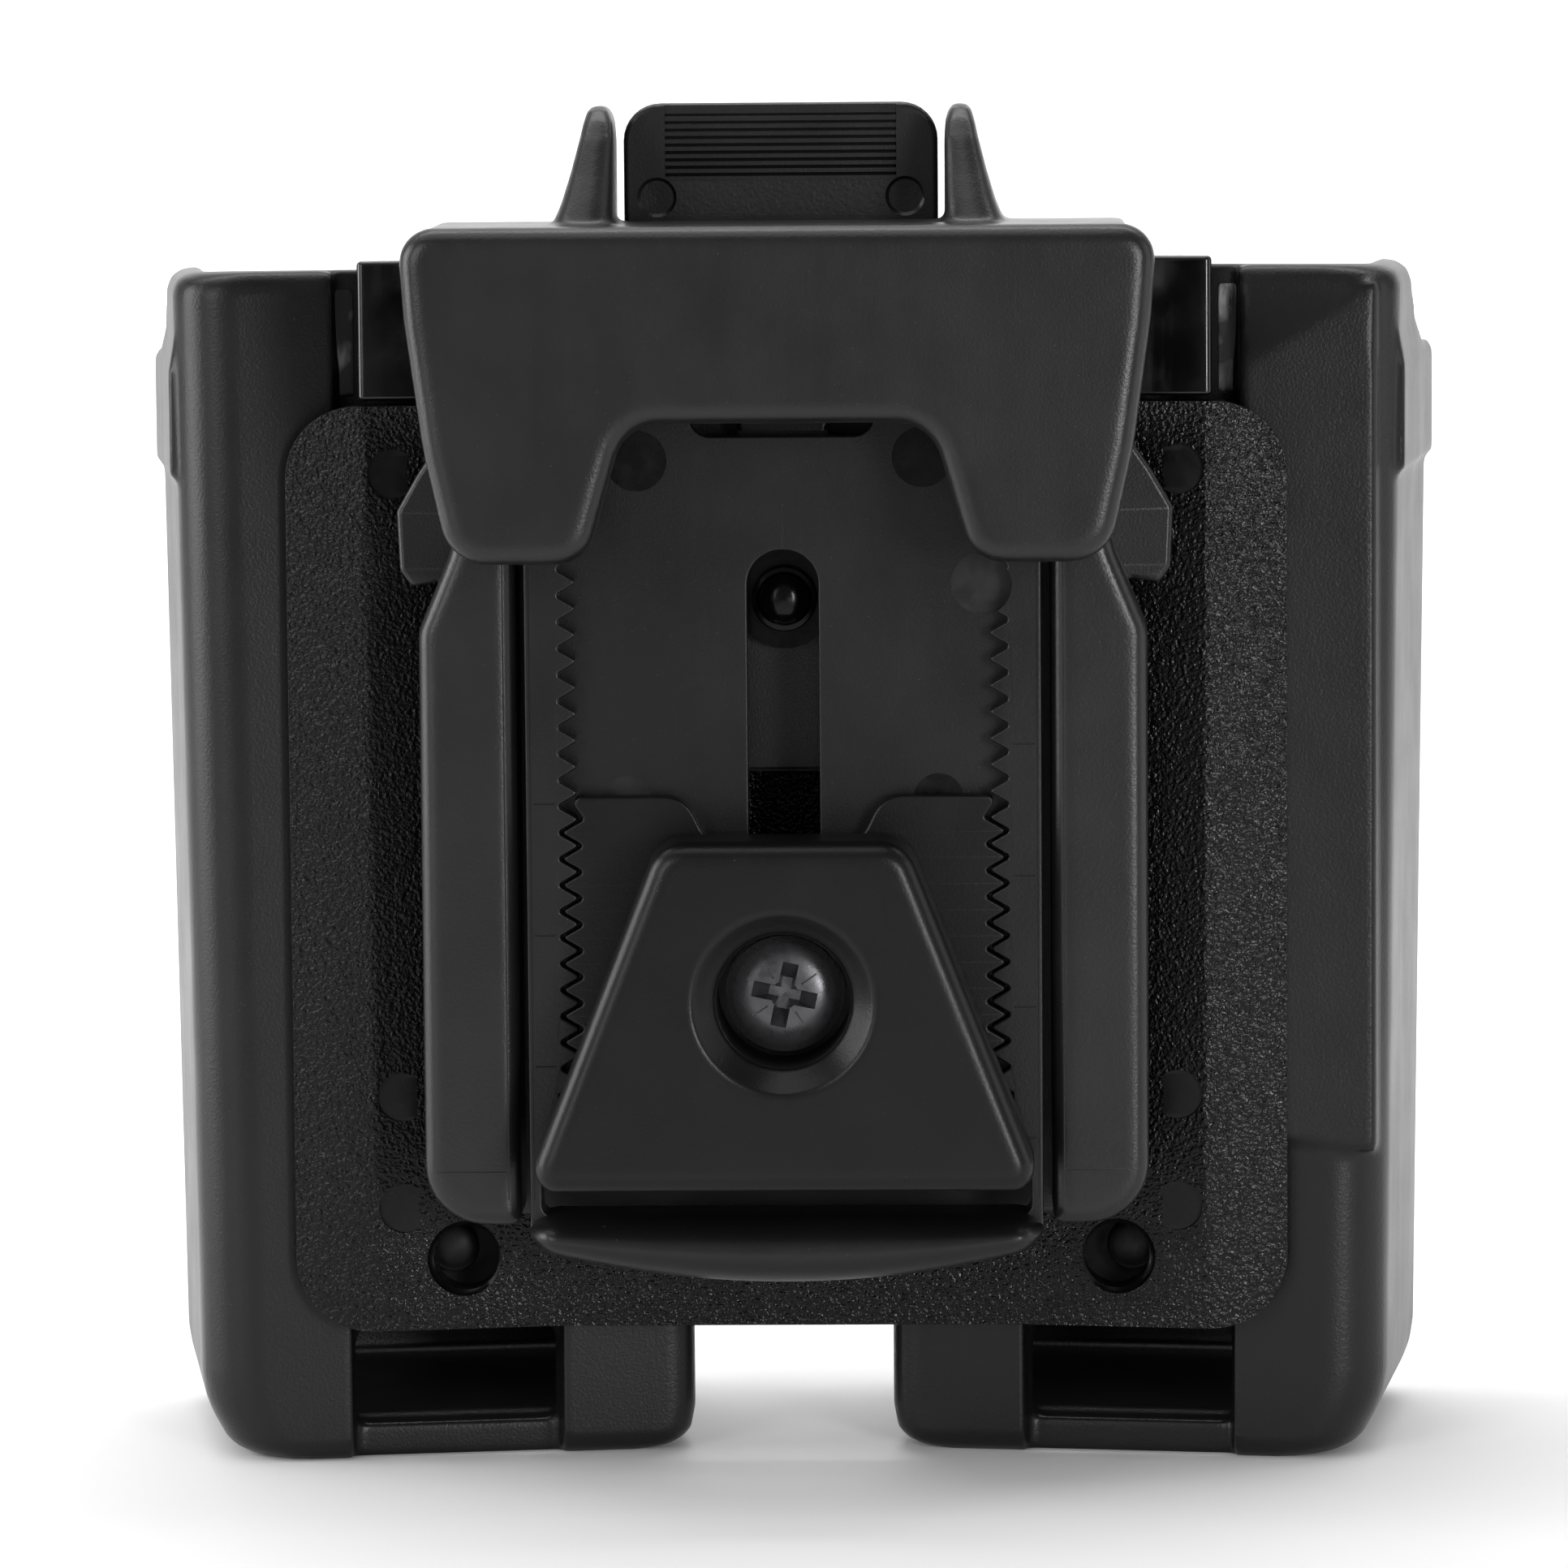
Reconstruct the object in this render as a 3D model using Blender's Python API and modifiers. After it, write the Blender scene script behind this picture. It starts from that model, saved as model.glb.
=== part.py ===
"""Belt-worn twin pouch holder with a swivelling, width-adjustable, quick-release belt clip.

Metres, +Z up. The wearer's side faces -Y and the pouches stand at +Y. The origin is the middle of the
object's footprint, level with the undersides of the pouches. Sizes below are in millimetres and are
turned into metres by MM where a shape is made.
"""

from math import cos, pi, radians, sin, tan

import bmesh
import bpy
from mathutils import Matrix, Vector

MM = 0.001

# Driving dimensions, in millimetres.
YAW = 8.5  # each pouch turns its outer end towards the wearer by this many degrees
FACET_X = 17.75  # where the base plate's flat middle ends and its tilted wings begin
CREST_X = 32.25  # the wings' crest
PLATE_HALF = 38.5
PLATE_Z = (10.8, 82.7)
PLATE_FACE = -5.9  # the flat middle's face
PLATE_BACK = -2.9
CREST_FACE = -8.2
PLATE_EDGE_FACE = -7.65
POUCH_BACK = -2.6  # depth of a pouch's back at FACET_X
POUCH_MID_X = 26.2  # the channels' centre line
POUCH_OUTER, POUCH_INNER = 20.3, 18.9  # from that line to the pouch's outer and inner sides
POUCH_DEPTH = 32.45
POUCH_TOP, POUCH_FRONT_TOP = 93.0, 86.0
BACK_WALL, SIDE_WALL, FLOOR = 3.4, 2.2, 3.0
CHANNEL_HALF_LOW, CHANNEL_HALF_TOP, CHANNEL_DEEP = 8.1, 8.8, 1.9
WINDOW_Z, WINDOW_HALF = (2.6, 60.0), 6.0  # the slot that the retention leaf lies in
MOUTH_TOP, MOUTH_HALF = 10.4, 7.9  # its wider mouth at the foot
PIVOT_Z = 68.1
HOOD_FACE, HOOD_WALL = -30.2, 3.4
STRIP_FACE = -19.7  # the toothed strips' face, against which the belt lies
RAIL_FACE, RAIL_BACK = -19.9, -10.9
POCKET_FACE, TONGUE_BACK = -17.8, -16.1
BACK_PLATE_Y = (-10.6, -8.8)
JAW_FACE = -27.7
TOOTH_PITCH, TOOTH_DEPTH, TOOTH_TIP_X = 2.0, 1.75, 15.45
TONGUE_TEETH_Z = (32.0, 74.0)
TONGUE_HALF, RAIL_INNER, RAIL_OUTER = 19.5, 20.2, 27.75
HINGE_Z = 89.0  # the tongue bends here
JAW_SCREW_Z = 38.9
LEVER_PIN = (-12.7, 87.0)  # depth and height of the release lever's pin
RING_NOTCHES = 12
PLATE_SCREW_IN = 0.7  # the screws stand this far inside the channels' centre lines
PLATE_SCREW_Z = (33.1, 62.0)
LEAF_TOP, LEAF_LOW, LEAF_THICK, LEAF_HALF = 70.0, 11.2, 0.7, 5.2
ACCESS_X, ACCESS_Z = 25.3, 16.35  # the holes over the leaves' buttons
PIN_RADIUS, PIN_BORE = 0.8, 0.95

# Name, x and z of the screws through the back plate into the rails.
BACK_SCREWS = (
    ("back_screw_1", -22.2, 27.0),
    ("back_screw_2", -22.2, 83.5),
    ("back_screw_3", 22.2, 27.0),
    ("back_screw_4", 22.2, 83.5),
)

MODEL = "belt_clip_pouch_holder"
TOOTHED = ("tongue", "jaw")  # the exact solver leaves gaps along these parts' rows of teeth
CUTTERS = "cutters"

COLOURS = {
    "moulded_black": ((0.014, 0.014, 0.015, 1), 0.55, 0.0),
    "textured_black": ((0.010, 0.010, 0.011, 1), 0.45, 0.0),
    "gloss_black": ((0.010, 0.010, 0.010, 1), 0.22, 0.0),
    "blackened_steel": ((0.030, 0.030, 0.032, 1), 0.30, 0.9),
    "spring_steel": ((0.090, 0.090, 0.095, 1), 0.35, 1.0),
}


# ---------------------------------------------------------------- tools


def collection(name):
    found = bpy.data.collections.get(name)
    if not found:
        found = bpy.data.collections.new(name)
        bpy.context.scene.collection.children.link(found)
    return found


def material(obj, kind):
    """The object's own material, with the colour, roughness and metallic value of its kind."""
    colour, roughness, metallic = COLOURS[kind]
    made = bpy.data.materials.new(obj.name)
    made.use_nodes = True
    shader = made.node_tree.nodes["Principled BSDF"]
    shader.inputs["Base Color"].default_value = colour
    shader.inputs["Roughness"].default_value = roughness
    shader.inputs["Metallic"].default_value = metallic
    obj.data.materials.clear()
    obj.data.materials.append(made)


def placed(name, mesh, kind=None):
    """A new object for a mesh: a part if it has a kind of material, and a cutter if not."""
    obj = bpy.data.objects.new(name, mesh)
    collection(MODEL if kind else CUTTERS).objects.link(obj)
    if kind:
        material(obj, kind)
        mesh.shade_smooth()
        mesh.set_sharp_from_angle(angle=radians(35))
    else:
        obj.hide_render = True
        obj.display_type = "WIRE"
    return obj


def arc_corner(before, corner, after, radius, steps):
    """Points of the round that replaces a corner, from the side before it to the side after it."""
    a = (Vector(before) - Vector(corner)).normalized()
    b = (Vector(after) - Vector(corner)).normalized()
    half = a.angle(b) / 2
    reach = radius / tan(half)
    centre = Vector(corner) + (a + b).normalized() * radius / sin(half)
    start = Vector(corner) + a * reach - centre
    end = Vector(corner) + b * reach - centre
    sweep = start.angle_signed(end)
    turned = [Matrix.Rotation(-sweep * i / steps, 2) @ start for i in range(steps + 1)]
    return [tuple(centre + point) for point in turned]


def outline(corners, steps=4):
    """Turns (x, y) and (x, y, radius) corners into plain points, with the radii as arcs."""
    points = []
    for i, corner in enumerate(corners):
        if len(corner) == 2 or corner[2] == 0:
            points.append(corner[:2])
        else:
            before, after = corners[i - 1], corners[(i + 1) % len(corners)]
            points += arc_corner(before[:2], corner[:2], after[:2], corner[2], steps)
    return points


def mirrored(corners):
    """Both halves of an outline from its right half, which starts and ends on the middle line."""
    left = [(-c[0], *c[1:]) for c in reversed(corners) if c[0] > 0]
    return corners + left


def circle(x, y, radius, count=20):
    angles = [2 * pi * i / count for i in range(count)]
    return [(x + radius * cos(angle), y + radius * sin(angle)) for angle in angles]


def flat_mesh(name, loops, low, high):
    """The closed mesh of a flat outline, and any holes in it, between two heights."""
    curve = bpy.data.curves.new(name, "CURVE")
    curve.dimensions = "2D"
    curve.fill_mode = "BOTH"
    curve.extrude = (high - low) / 2 * MM
    for loop in loops:
        spline = curve.splines.new("POLY")
        spline.points.add(len(loop) - 1)
        for point, (x, y) in zip(spline.points, loop):
            point.co = (x * MM, y * MM, 0, 1)
        spline.use_cyclic_u = True
    guide = bpy.data.objects.new(name, curve)
    bpy.context.scene.collection.objects.link(guide)
    evaluated = guide.evaluated_get(bpy.context.evaluated_depsgraph_get())
    mesh = bpy.data.meshes.new_from_object(evaluated)
    bpy.data.objects.remove(guide)
    bpy.data.curves.remove(curve)
    mesh.transform(Matrix.Translation((0, 0, (low + high) / 2 * MM)))
    work = bmesh.new()
    work.from_mesh(mesh)
    bmesh.ops.remove_doubles(work, verts=work.verts, dist=1e-6)
    bmesh.ops.dissolve_limit(work, angle_limit=1e-4, verts=work.verts, edges=work.edges)
    bmesh.ops.recalc_face_normals(work, faces=work.faces)
    work.to_mesh(mesh)
    work.free()
    return mesh


UPRIGHT = Matrix.Rotation(pi / 2, 4, "X")  # takes (x, y, z) to (x, -z, y)
SIDEWAYS = Matrix.Rotation(pi / 2, 4, "Z") @ UPRIGHT  # takes (x, y, z) to (z, x, y)


def front_plate(name, loops, near, far, kind=None):
    """A plate whose outline is seen from the front, as (x, z) points, between two depths."""
    mesh = flat_mesh(name, loops, -far, -near)
    mesh.transform(UPRIGHT)
    return placed(name, mesh, kind)


def plan_plate(name, loops, low, high, kind=None):
    """A plate whose outline is seen from above, as (x, y) points, between two heights."""
    return placed(name, flat_mesh(name, loops, low, high), kind)


def side_plate(name, loops, left, right, kind=None):
    """A plate whose outline is seen from the side, as (y, z) points, between two widths."""
    mesh = flat_mesh(name, loops, left, right)
    mesh.transform(SIDEWAYS)
    return placed(name, mesh, kind)


def box(name, x, y, z):
    """A block between two widths, two depths and two heights."""
    mesh = bpy.data.meshes.new(name)
    work = bmesh.new()
    bmesh.ops.create_cube(work, size=1)
    size = Vector((x[1] - x[0], y[1] - y[0], z[1] - z[0])) * MM
    middle = Vector((x[0] + x[1], y[0] + y[1], z[0] + z[1])) / 2 * MM
    bmesh.ops.scale(work, vec=size, verts=work.verts)
    bmesh.ops.translate(work, vec=middle, verts=work.verts)
    work.to_mesh(mesh)
    work.free()
    return placed(name, mesh)


def cone(name, x, z, near, far, radius_near, radius_far=None, sides=24):
    """A cylinder or cone along the depth, between two depths."""
    mesh = bpy.data.meshes.new(name)
    work = bmesh.new()
    radius_far = radius_near if radius_far is None else radius_far
    bmesh.ops.create_cone(
        work,
        cap_ends=True,
        segments=sides,
        radius1=radius_far * MM,
        radius2=radius_near * MM,
        depth=(far - near) * MM,
        matrix=Matrix.Translation((x * MM, (near + far) / 2 * MM, z * MM)) @ UPRIGHT,
    )
    work.to_mesh(mesh)
    work.free()
    return placed(name, mesh)


def turned(name, profile, x, z, kind, sides=24):
    """A piece turned about a line along the depth: profile is (radius, depth) from front to back."""
    mesh = bpy.data.meshes.new(name)
    work = bmesh.new()
    points = [work.verts.new((radius * MM, 0, -depth * MM)) for radius, depth in profile]
    for first, second in zip(points, points[1:]):
        work.edges.new((first, second))
    work.to_mesh(mesh)
    work.free()
    obj = placed(name, mesh, kind)
    obj.matrix_world = Matrix.Translation((x * MM, 0, z * MM)) @ UPRIGHT
    screw = obj.modifiers.new("turn", "SCREW")
    screw.steps = screw.render_steps = sides
    screw.merge_threshold = 1e-6
    screw.use_merge_vertices = True
    return obj


def boolean(obj, cutter, operation="DIFFERENCE"):
    modifier = obj.modifiers.new(operation.lower(), "BOOLEAN")
    modifier.operation = operation
    modifier.object = cutter
    modifier.solver = "MANIFOLD" if obj.name in TOOTHED else "EXACT"
    return modifier


def cut(obj, *cutters):
    for cutter in cutters:
        boolean(obj, cutter)


def join(obj, *pieces):
    for piece in pieces:
        boolean(obj, piece, "UNION")


def soften(obj, width, segments=2, angle=50):
    """Rounds the edges that turn by more than angle."""
    bevel = obj.modifiers.new("soften", "BEVEL")
    bevel.width = width * MM
    bevel.segments = segments
    bevel.limit_method = "ANGLE"
    bevel.angle_limit = radians(angle)
    bevel.use_clamp_overlap = True
    return bevel


# ---------------------------------------------------------------- shapes shared by several parts


def wing_depth(x, at_facet):
    """Depth of a plane that is parallel to a pouch's back, at_facet deep where the wings begin."""
    return at_facet - (abs(x) - FACET_X) * tan(radians(YAW))


def pouch_place(side):
    """Places a pouch's own axes, not mirrored: the origin is on its back, on its channel's centre line."""
    depth = wing_depth(POUCH_MID_X, POUCH_BACK)
    turn = Matrix.Rotation(radians(-side * YAW), 4, "Z")
    return Matrix.Translation((side * POUCH_MID_X * MM, depth * MM, 0)) @ turn


def pouch_frame(side):
    """The same axes with +X towards the pouch's outer side, so that the left pouch is drawn mirrored."""
    return pouch_place(side) @ Matrix.Diagonal((side, 1, 1, 1))


def in_pouch(obj, side):
    """Moves a shape that is drawn in a right-hand pouch's axes to its pouch."""
    matrix = pouch_frame(side)
    obj.data.transform(matrix)
    if side < 0:
        obj.data.flip_normals()
    return obj


def teeth(x_root, x_tip, low, high):
    """(x, z) points up one toothed edge, with its tips on whole pitches from low to high."""
    points = [(x_root, low - TOOTH_PITCH / 2)]
    for i in range(round((high - low) / TOOTH_PITCH) + 1):
        z = low + i * TOOTH_PITCH
        points += [(x_tip, z), (x_root, z + TOOTH_PITCH / 2)]
    return points


# ---------------------------------------------------------------- holder


def pouch(name, side):
    """A rigid open-topped pouch with a mouth band, and on the right-hand one a pad beside the plate."""
    front = [
        (POUCH_OUTER, POUCH_TOP, 1.2),
        (-POUCH_INNER, POUCH_TOP, 1.2),
        (-POUCH_INNER, 0, 3.8),
        (POUCH_OUTER - 5.0, 0, 2.0),
        (POUCH_OUTER - 1.4, 5.0, 3.0),
    ]
    plan = [
        (POUCH_OUTER, 0, 3.4),
        (POUCH_OUTER, POUCH_DEPTH, 5.5),
        (-POUCH_INNER, POUCH_DEPTH, 5.5),
        (-POUCH_INNER, 0, 2.2),
    ]
    body = plan_plate(name, [outline(plan)], 0, POUCH_TOP, "moulded_black")
    shape = front_plate(name + "_shape", [outline(front)], -2, POUCH_DEPTH + 2)
    boolean(body, in_pouch(shape, side), "INTERSECT")

    if side > 0:
        pad_low, pad_in, pad_out = 24.5, 8.9, 18.2
        pad_plan = [(pad_in, 0.5), (pad_in, -1.35), (pad_out, 0), (pad_out, 0.5)]
        pad = plan_plate(name + "_pad", [pad_plan], pad_low, POUCH_TOP - 1.2)
        join(body, in_pouch(pad, side))
    band_side = [
        (POUCH_OUTER - 1, 77.2),
        (POUCH_OUTER + 0.5, 77.2),
        (POUCH_OUTER + 0.5, 85.0),
        (POUCH_OUTER - 1, 92.0),
    ]
    band = front_plate(name + "_band", [band_side], 4, POUCH_DEPTH - 5)
    join(body, in_pouch(band, side))

    inner = outline(
        [
            (POUCH_OUTER - SIDE_WALL, BACK_WALL, 1.5),
            (POUCH_OUTER - SIDE_WALL, POUCH_DEPTH - SIDE_WALL, 3.5),
            (SIDE_WALL - POUCH_INNER, POUCH_DEPTH - SIDE_WALL, 3.5),
            (SIDE_WALL - POUCH_INNER, BACK_WALL, 1.5),
        ]
    )
    cavity = plan_plate(name + "_cavity", [inner], FLOOR, POUCH_TOP + 5)
    front_cut = side_plate(
        name + "_front_cut",
        [outline([(14, 100), (14, 91), (22, POUCH_FRONT_TOP, 4), (40, POUCH_FRONT_TOP), (40, 100)])],
        -POUCH_INNER - 5,
        POUCH_OUTER + 5,
    )
    low, top = CHANNEL_HALF_LOW, CHANNEL_HALF_TOP
    trapezoid = [(-low, -5), (low, -5), (top, POUCH_TOP + 5), (-top, POUCH_TOP + 5)]
    channel = front_plate(name + "_channel", [trapezoid], -5, CHANNEL_DEEP)
    window_points = outline(
        [
            (-WINDOW_HALF, WINDOW_Z[0]),
            (WINDOW_HALF, WINDOW_Z[0]),
            (WINDOW_HALF, WINDOW_Z[1], 2),
            (-WINDOW_HALF, WINDOW_Z[1], 2),
        ]
    )
    mouth_points = outline(
        [
            (-MOUTH_HALF, WINDOW_Z[0]),
            (MOUTH_HALF, WINDOW_Z[0]),
            (MOUTH_HALF, MOUTH_TOP, 2),
            (-MOUTH_HALF, MOUTH_TOP, 2),
        ]
    )
    window = front_plate(name + "_window", [window_points], -5, BACK_WALL + 1)
    mouth = front_plate(name + "_mouth", [mouth_points], -5, BACK_WALL + 1)
    for cutter in (cavity, front_cut, channel, window, mouth):
        cut(body, in_pouch(cutter, side))
    body.data.transform(pouch_frame(side))
    if side < 0:
        body.data.flip_normals()
    return body


def retention_leaf(name, side):
    """A thin spring, held at its top, that bows into the pouch through the slot and has a round button."""
    base = CHANNEL_DEEP + 0.3
    path = [
        (base - 1.2, LEAF_TOP),
        (base - 1.2, 59.0),
        (base + 0.6, 52.0),
        (base + 2.0, 30.0),
        (base + 2.3, 22.0),
        (base + 1.6, 15.0),
        (base + 0.4, LEAF_LOW),
    ]
    back = [(depth + LEAF_THICK, z) for depth, z in reversed(path)]
    leaf = side_plate(name, [path + back], -LEAF_HALF, LEAF_HALF, "spring_steel")
    button = cone(name + "_button", 0, ACCESS_Z, base + 0.2, base + 2.2, 1.6, sides=16)
    join(leaf, in_pouch(button, side))
    leaf.data.transform(pouch_frame(side))
    if side < 0:
        leaf.data.flip_normals()
    return leaf


def carrier():
    """The glossy cross piece, with a leg down each channel."""
    face, low, top, reach = -5.6, PLATE_Z[1] + 0.4, 93.8, 32.6
    rear = POUCH_BACK - 0.35
    half = [
        (0, face),
        (FACET_X, face),
        (reach, wing_depth(reach, face)),
        (reach, wing_depth(reach, rear)),
        (FACET_X, rear),
        (0, rear),
    ]
    both = [(-x, y) for x, y in reversed(half[1:-1])]
    body = plan_plate("carrier", [half + both], low, top, "gloss_black")
    for side in (-1, 1):
        key = box(f"carrier_key_{side}", (-7.6, 6.4), (-1.2, CHANNEL_DEEP - 0.3), (low, top))
        leg = box(f"carrier_leg_{side}", (-7.3, 6.1), (-0.05, 0.75), (28.0, low + 3))
        join(body, in_pouch(key, side), in_pouch(leg, side))
        cut_screw_holes(body, side)
    return body


def base_plate():
    """The five-facet plate, with the pivot's boss on its flat middle."""
    half = [
        (FACET_X, PLATE_FACE),
        (CREST_X, CREST_FACE),
        (PLATE_HALF, PLATE_EDGE_FACE),
        (PLATE_HALF, -6.85),
        (34.7, -6.85),
        (34.4, wing_depth(34.4, PLATE_BACK)),
        (FACET_X, PLATE_BACK),
    ]
    both = [(-x, y) for x, y in reversed(half)]
    body = plan_plate("base_plate", [half + both], *PLATE_Z, "textured_black")
    low, top = PLATE_Z
    corners = mirrored([(0, low), (PLATE_HALF, low, 5.6), (PLATE_HALF, top, 5.6), (0, top)])
    boolean(body, front_plate("plate_shape", [outline(corners, 6)], -20, 10), "INTERSECT")
    join(body, cone("pivot_boss", 0, PIVOT_Z, -8.5, PLATE_FACE + 1, 4.6))
    cut(body, cone("pivot_bore", 0, PIVOT_Z, -20, 10, 2.15))
    for side in (-1, 1):
        cut(body, cone(f"access_hole_{side}", side * ACCESS_X, ACCESS_Z, -20, 10, 2.5))
        cut_screw_holes(body, side)
    return body


def cut_screw_holes(body, side):
    """Clearance holes for the two screws of one wing."""
    for z in PLATE_SCREW_Z:
        hole = cone(f"{body.name}_hole_{side}_{z}", -PLATE_SCREW_IN, z, -12, 6, 1.25, sides=16)
        cut(body, in_pouch(hole, side))


def plate_screw(name, side, z):
    """A low round-headed screw through a wing of the base plate into the carrier's leg."""
    seat = PLATE_FACE - POUCH_BACK - 0.2
    profile = [
        (0, seat - 1.0),
        (1.6, seat - 0.85),
        (2.5, seat - 0.4),
        (2.85, seat),
        (1.0, seat),
        (1.0, seat + 4.0),
        (0, seat + 4.3),
    ]
    screw = turned(name, profile, -side * PLATE_SCREW_IN, z, "blackened_steel", sides=16)
    screw.matrix_world = pouch_place(side) @ screw.matrix_world
    return screw


def detent_ring():
    """The ring round the boss, with a notch at each stop."""
    outer, root, inner, half_notch = 9.2, 6.2, 4.9, 1.2
    points = []
    for i in range(RING_NOTCHES):
        middle = 2 * pi * i / RING_NOTCHES + pi / 2
        turn = Matrix.Rotation(middle, 2)
        step = pi / RING_NOTCHES
        start = half_notch / outer
        lands = [start + (2 * step - 2 * start) * j / 4 for j in range(5)]
        points += [tuple(turn @ Vector((root, -half_notch))), tuple(turn @ Vector((root, half_notch)))]
        points += [tuple(turn @ Vector((outer * cos(a), outer * sin(a)))) for a in lands]
    lifted = [(x, z + PIVOT_Z) for x, z in points]
    return front_plate("detent_ring", [lifted, circle(0, PIVOT_Z, inner, 24)], -7.9, -6.2, "spring_steel")


def pivot_rivet():
    """The swivel's axle, with a dome at the front and a flat head behind the base plate."""
    profile = [
        (0, -14.2),
        (0.9, -14.0),
        (1.5, -13.5),
        (1.75, -12.9),
        (2.5, -12.8),
        (2.5, -12.0),
        (2.0, -12.0),
        (2.0, -1.9),
        (3.6, -1.9),
        (3.6, -0.9),
        (3.2, -0.6),
        (0, -0.6),
    ]
    return turned("pivot_rivet", profile, 0, PIVOT_Z, "blackened_steel")


def washer(name, z, near, far, outer, inner, kind):
    return front_plate(name, [circle(0, z, outer, 28), circle(0, z, inner, 28)], near, far, kind)


# ---------------------------------------------------------------- clip


def hood_outline():
    half = [
        (28.1, 97.0, 2.6),
        (27.3, 87.0),
        (24.4, 72.0, 3.6),
        (14.3, 72.0, 3.0),
        (11.3, 82.4, 3.4),
        (0, 82.4),
    ]
    return outline(mirrored([(0, 97.0)] + half), 5)


def clip_frame():
    """Hood, bridge over the belt, horns and side rails, in one piece."""
    body = front_plate("clip_frame", [hood_outline()], HOOD_FACE, HOOD_FACE + HOOD_WALL, "moulded_black")
    soften(body, 1.5, 3)
    bridge = [
        (HOOD_FACE + 1, 97.0),
        (HOOD_FACE + 1, 93.5),
        (STRIP_FACE, 93.5),
        (STRIP_FACE, 90.3),
        (-14.2, 90.3),
        (-14.2, 97.0),
    ]
    span = side_plate("bridge", [bridge], -26.0, 26.0)
    rail_back_edge = [
        (RAIL_INNER, 20.9, 0.8),
        (RAIL_OUTER, 20.9, 4.6),
        (RAIL_OUTER, 66.3, 3.0),
        (23.6, 74.6, 3.0),
        (23.6, 97.0),
        (RAIL_INNER, 97.0),
    ]
    join(body, span)
    for side in (-1, 1):
        loop = [(side * x, z) for x, z in outline(rail_back_edge)]
        rail = front_plate(f"rail_{side}", [loop], RAIL_FACE, RAIL_BACK)
        soften(rail, 1.6, 2)
        horn = horn_solid(f"horn_{side}", side)
        join(body, rail, horn)
    for name, x, z in BACK_SCREWS:
        cut(body, cone(name + "_hole", x, z, RAIL_BACK - 4.5, 0, 1.0, sides=12))
    return body


def horn_solid(name, side):
    """A tapering fin beside the thumb tab: a stack of rounded slices from base to tip."""
    levels = [
        (95.5, 12.4, 17.2, -25.6, -11.2),
        (97.6, 12.4, 16.5, -24.4, -11.2),
        (100.5, 12.4, 15.6, -22.4, -11.4),
        (103.5, 12.4, 14.9, -20.4, -11.8),
        (105.0, 12.6, 14.5, -19.0, -12.6),
        (105.7, 13.0, 14.1, -17.6, -14.0),
    ]
    mesh = bpy.data.meshes.new(name)
    work = bmesh.new()
    rings = []
    for z, x0, x1, y0, y1 in levels:
        round_by = min(x1 - x0, y1 - y0) * 0.42
        corners = [(x0, y0, round_by), (x1, y0, round_by), (x1, y1, round_by), (x0, y1, round_by)]
        ring = [work.verts.new((side * x * MM, y * MM, z * MM)) for x, y in outline(corners, 3)]
        rings.append(ring)
    for lower, upper in zip(rings, rings[1:]):
        for i in range(len(lower)):
            j = (i + 1) % len(lower)
            work.faces.new((lower[i], lower[j], upper[j], upper[i]))
    work.faces.new(rings[0])
    work.faces.new(rings[-1])
    bmesh.ops.recalc_face_normals(work, faces=work.faces)
    work.to_mesh(mesh)
    work.free()
    return placed(name, mesh)


def back_plate():
    """The plate behind the rails, with side ears, lugs for the lever's pin and a window for the nut."""
    half = [
        (0, 92.0),
        (25.5, 92.0, 2.0),
        (26.6, 79.8, 1.0),
        (28.3, 78.0, 0.8),
        (29.8, 75.2, 0.8),
        (29.8, 70.6, 1.2),
        (28.8, 69.2, 0.6),
        (27.2, 69.8, 0.8),
        (27.2, 20.3, 4.6),
        (0, 20.3),
    ]
    window = outline([(15.8, 28.2, 2), (15.8, 54.6, 2), (-15.8, 54.6, 2), (-15.8, 28.2, 2)])
    slot = outline([(1.5, 73.6, 0.4), (1.5, 78.4, 0.4), (-1.5, 78.4, 0.4), (-1.5, 73.6, 0.4)], 2)
    body = front_plate(
        "back_plate",
        [outline(mirrored(half), 3), window, slot, circle(0, PIVOT_Z, 2.15)],
        *BACK_PLATE_Y,
        "moulded_black",
    )
    pin_y, pin_z = LEVER_PIN
    for side in (-1, 1):
        left, right = sorted((side * 12.6, side * 15.0))
        lug = [
            (-9.6, pin_z - 2.2),
            (-9.6, pin_z + 2.2),
            (pin_y - 1.7, pin_z + 2.2, 1.6),
            (pin_y - 1.7, pin_z - 2.2, 1.6),
        ]
        join(body, side_plate(f"lug_{side}", [outline(lug)], left, right))
    bore = side_plate("lug_bore", [circle(pin_y, pin_z, PIN_BORE, 16)], -20, 20)
    cut(body, bore)
    near, far = BACK_PLATE_Y
    for name, x, z in BACK_SCREWS:
        cut(body, cone(name + "_seat", x, z, near - 1, far + 0.01, 0.75, 2.65, sides=16))
        cut(body, cone(name + "_clear", x, z, near - 1, 0, 1.15, sides=16))
    return body


def back_screw(name, x, z):
    """A small countersunk screw from behind, level with the back plate."""
    rear = BACK_PLATE_Y[1] - 0.15
    profile = [
        (0, RAIL_BACK - 4.0),
        (0.75, RAIL_BACK - 3.6),
        (0.75, rear - 1.3),
        (1.95, rear - 0.1),
        (1.95, rear),
        (0, rear),
    ]
    return turned(name, profile, x, z, "blackened_steel", sides=16)


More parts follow.
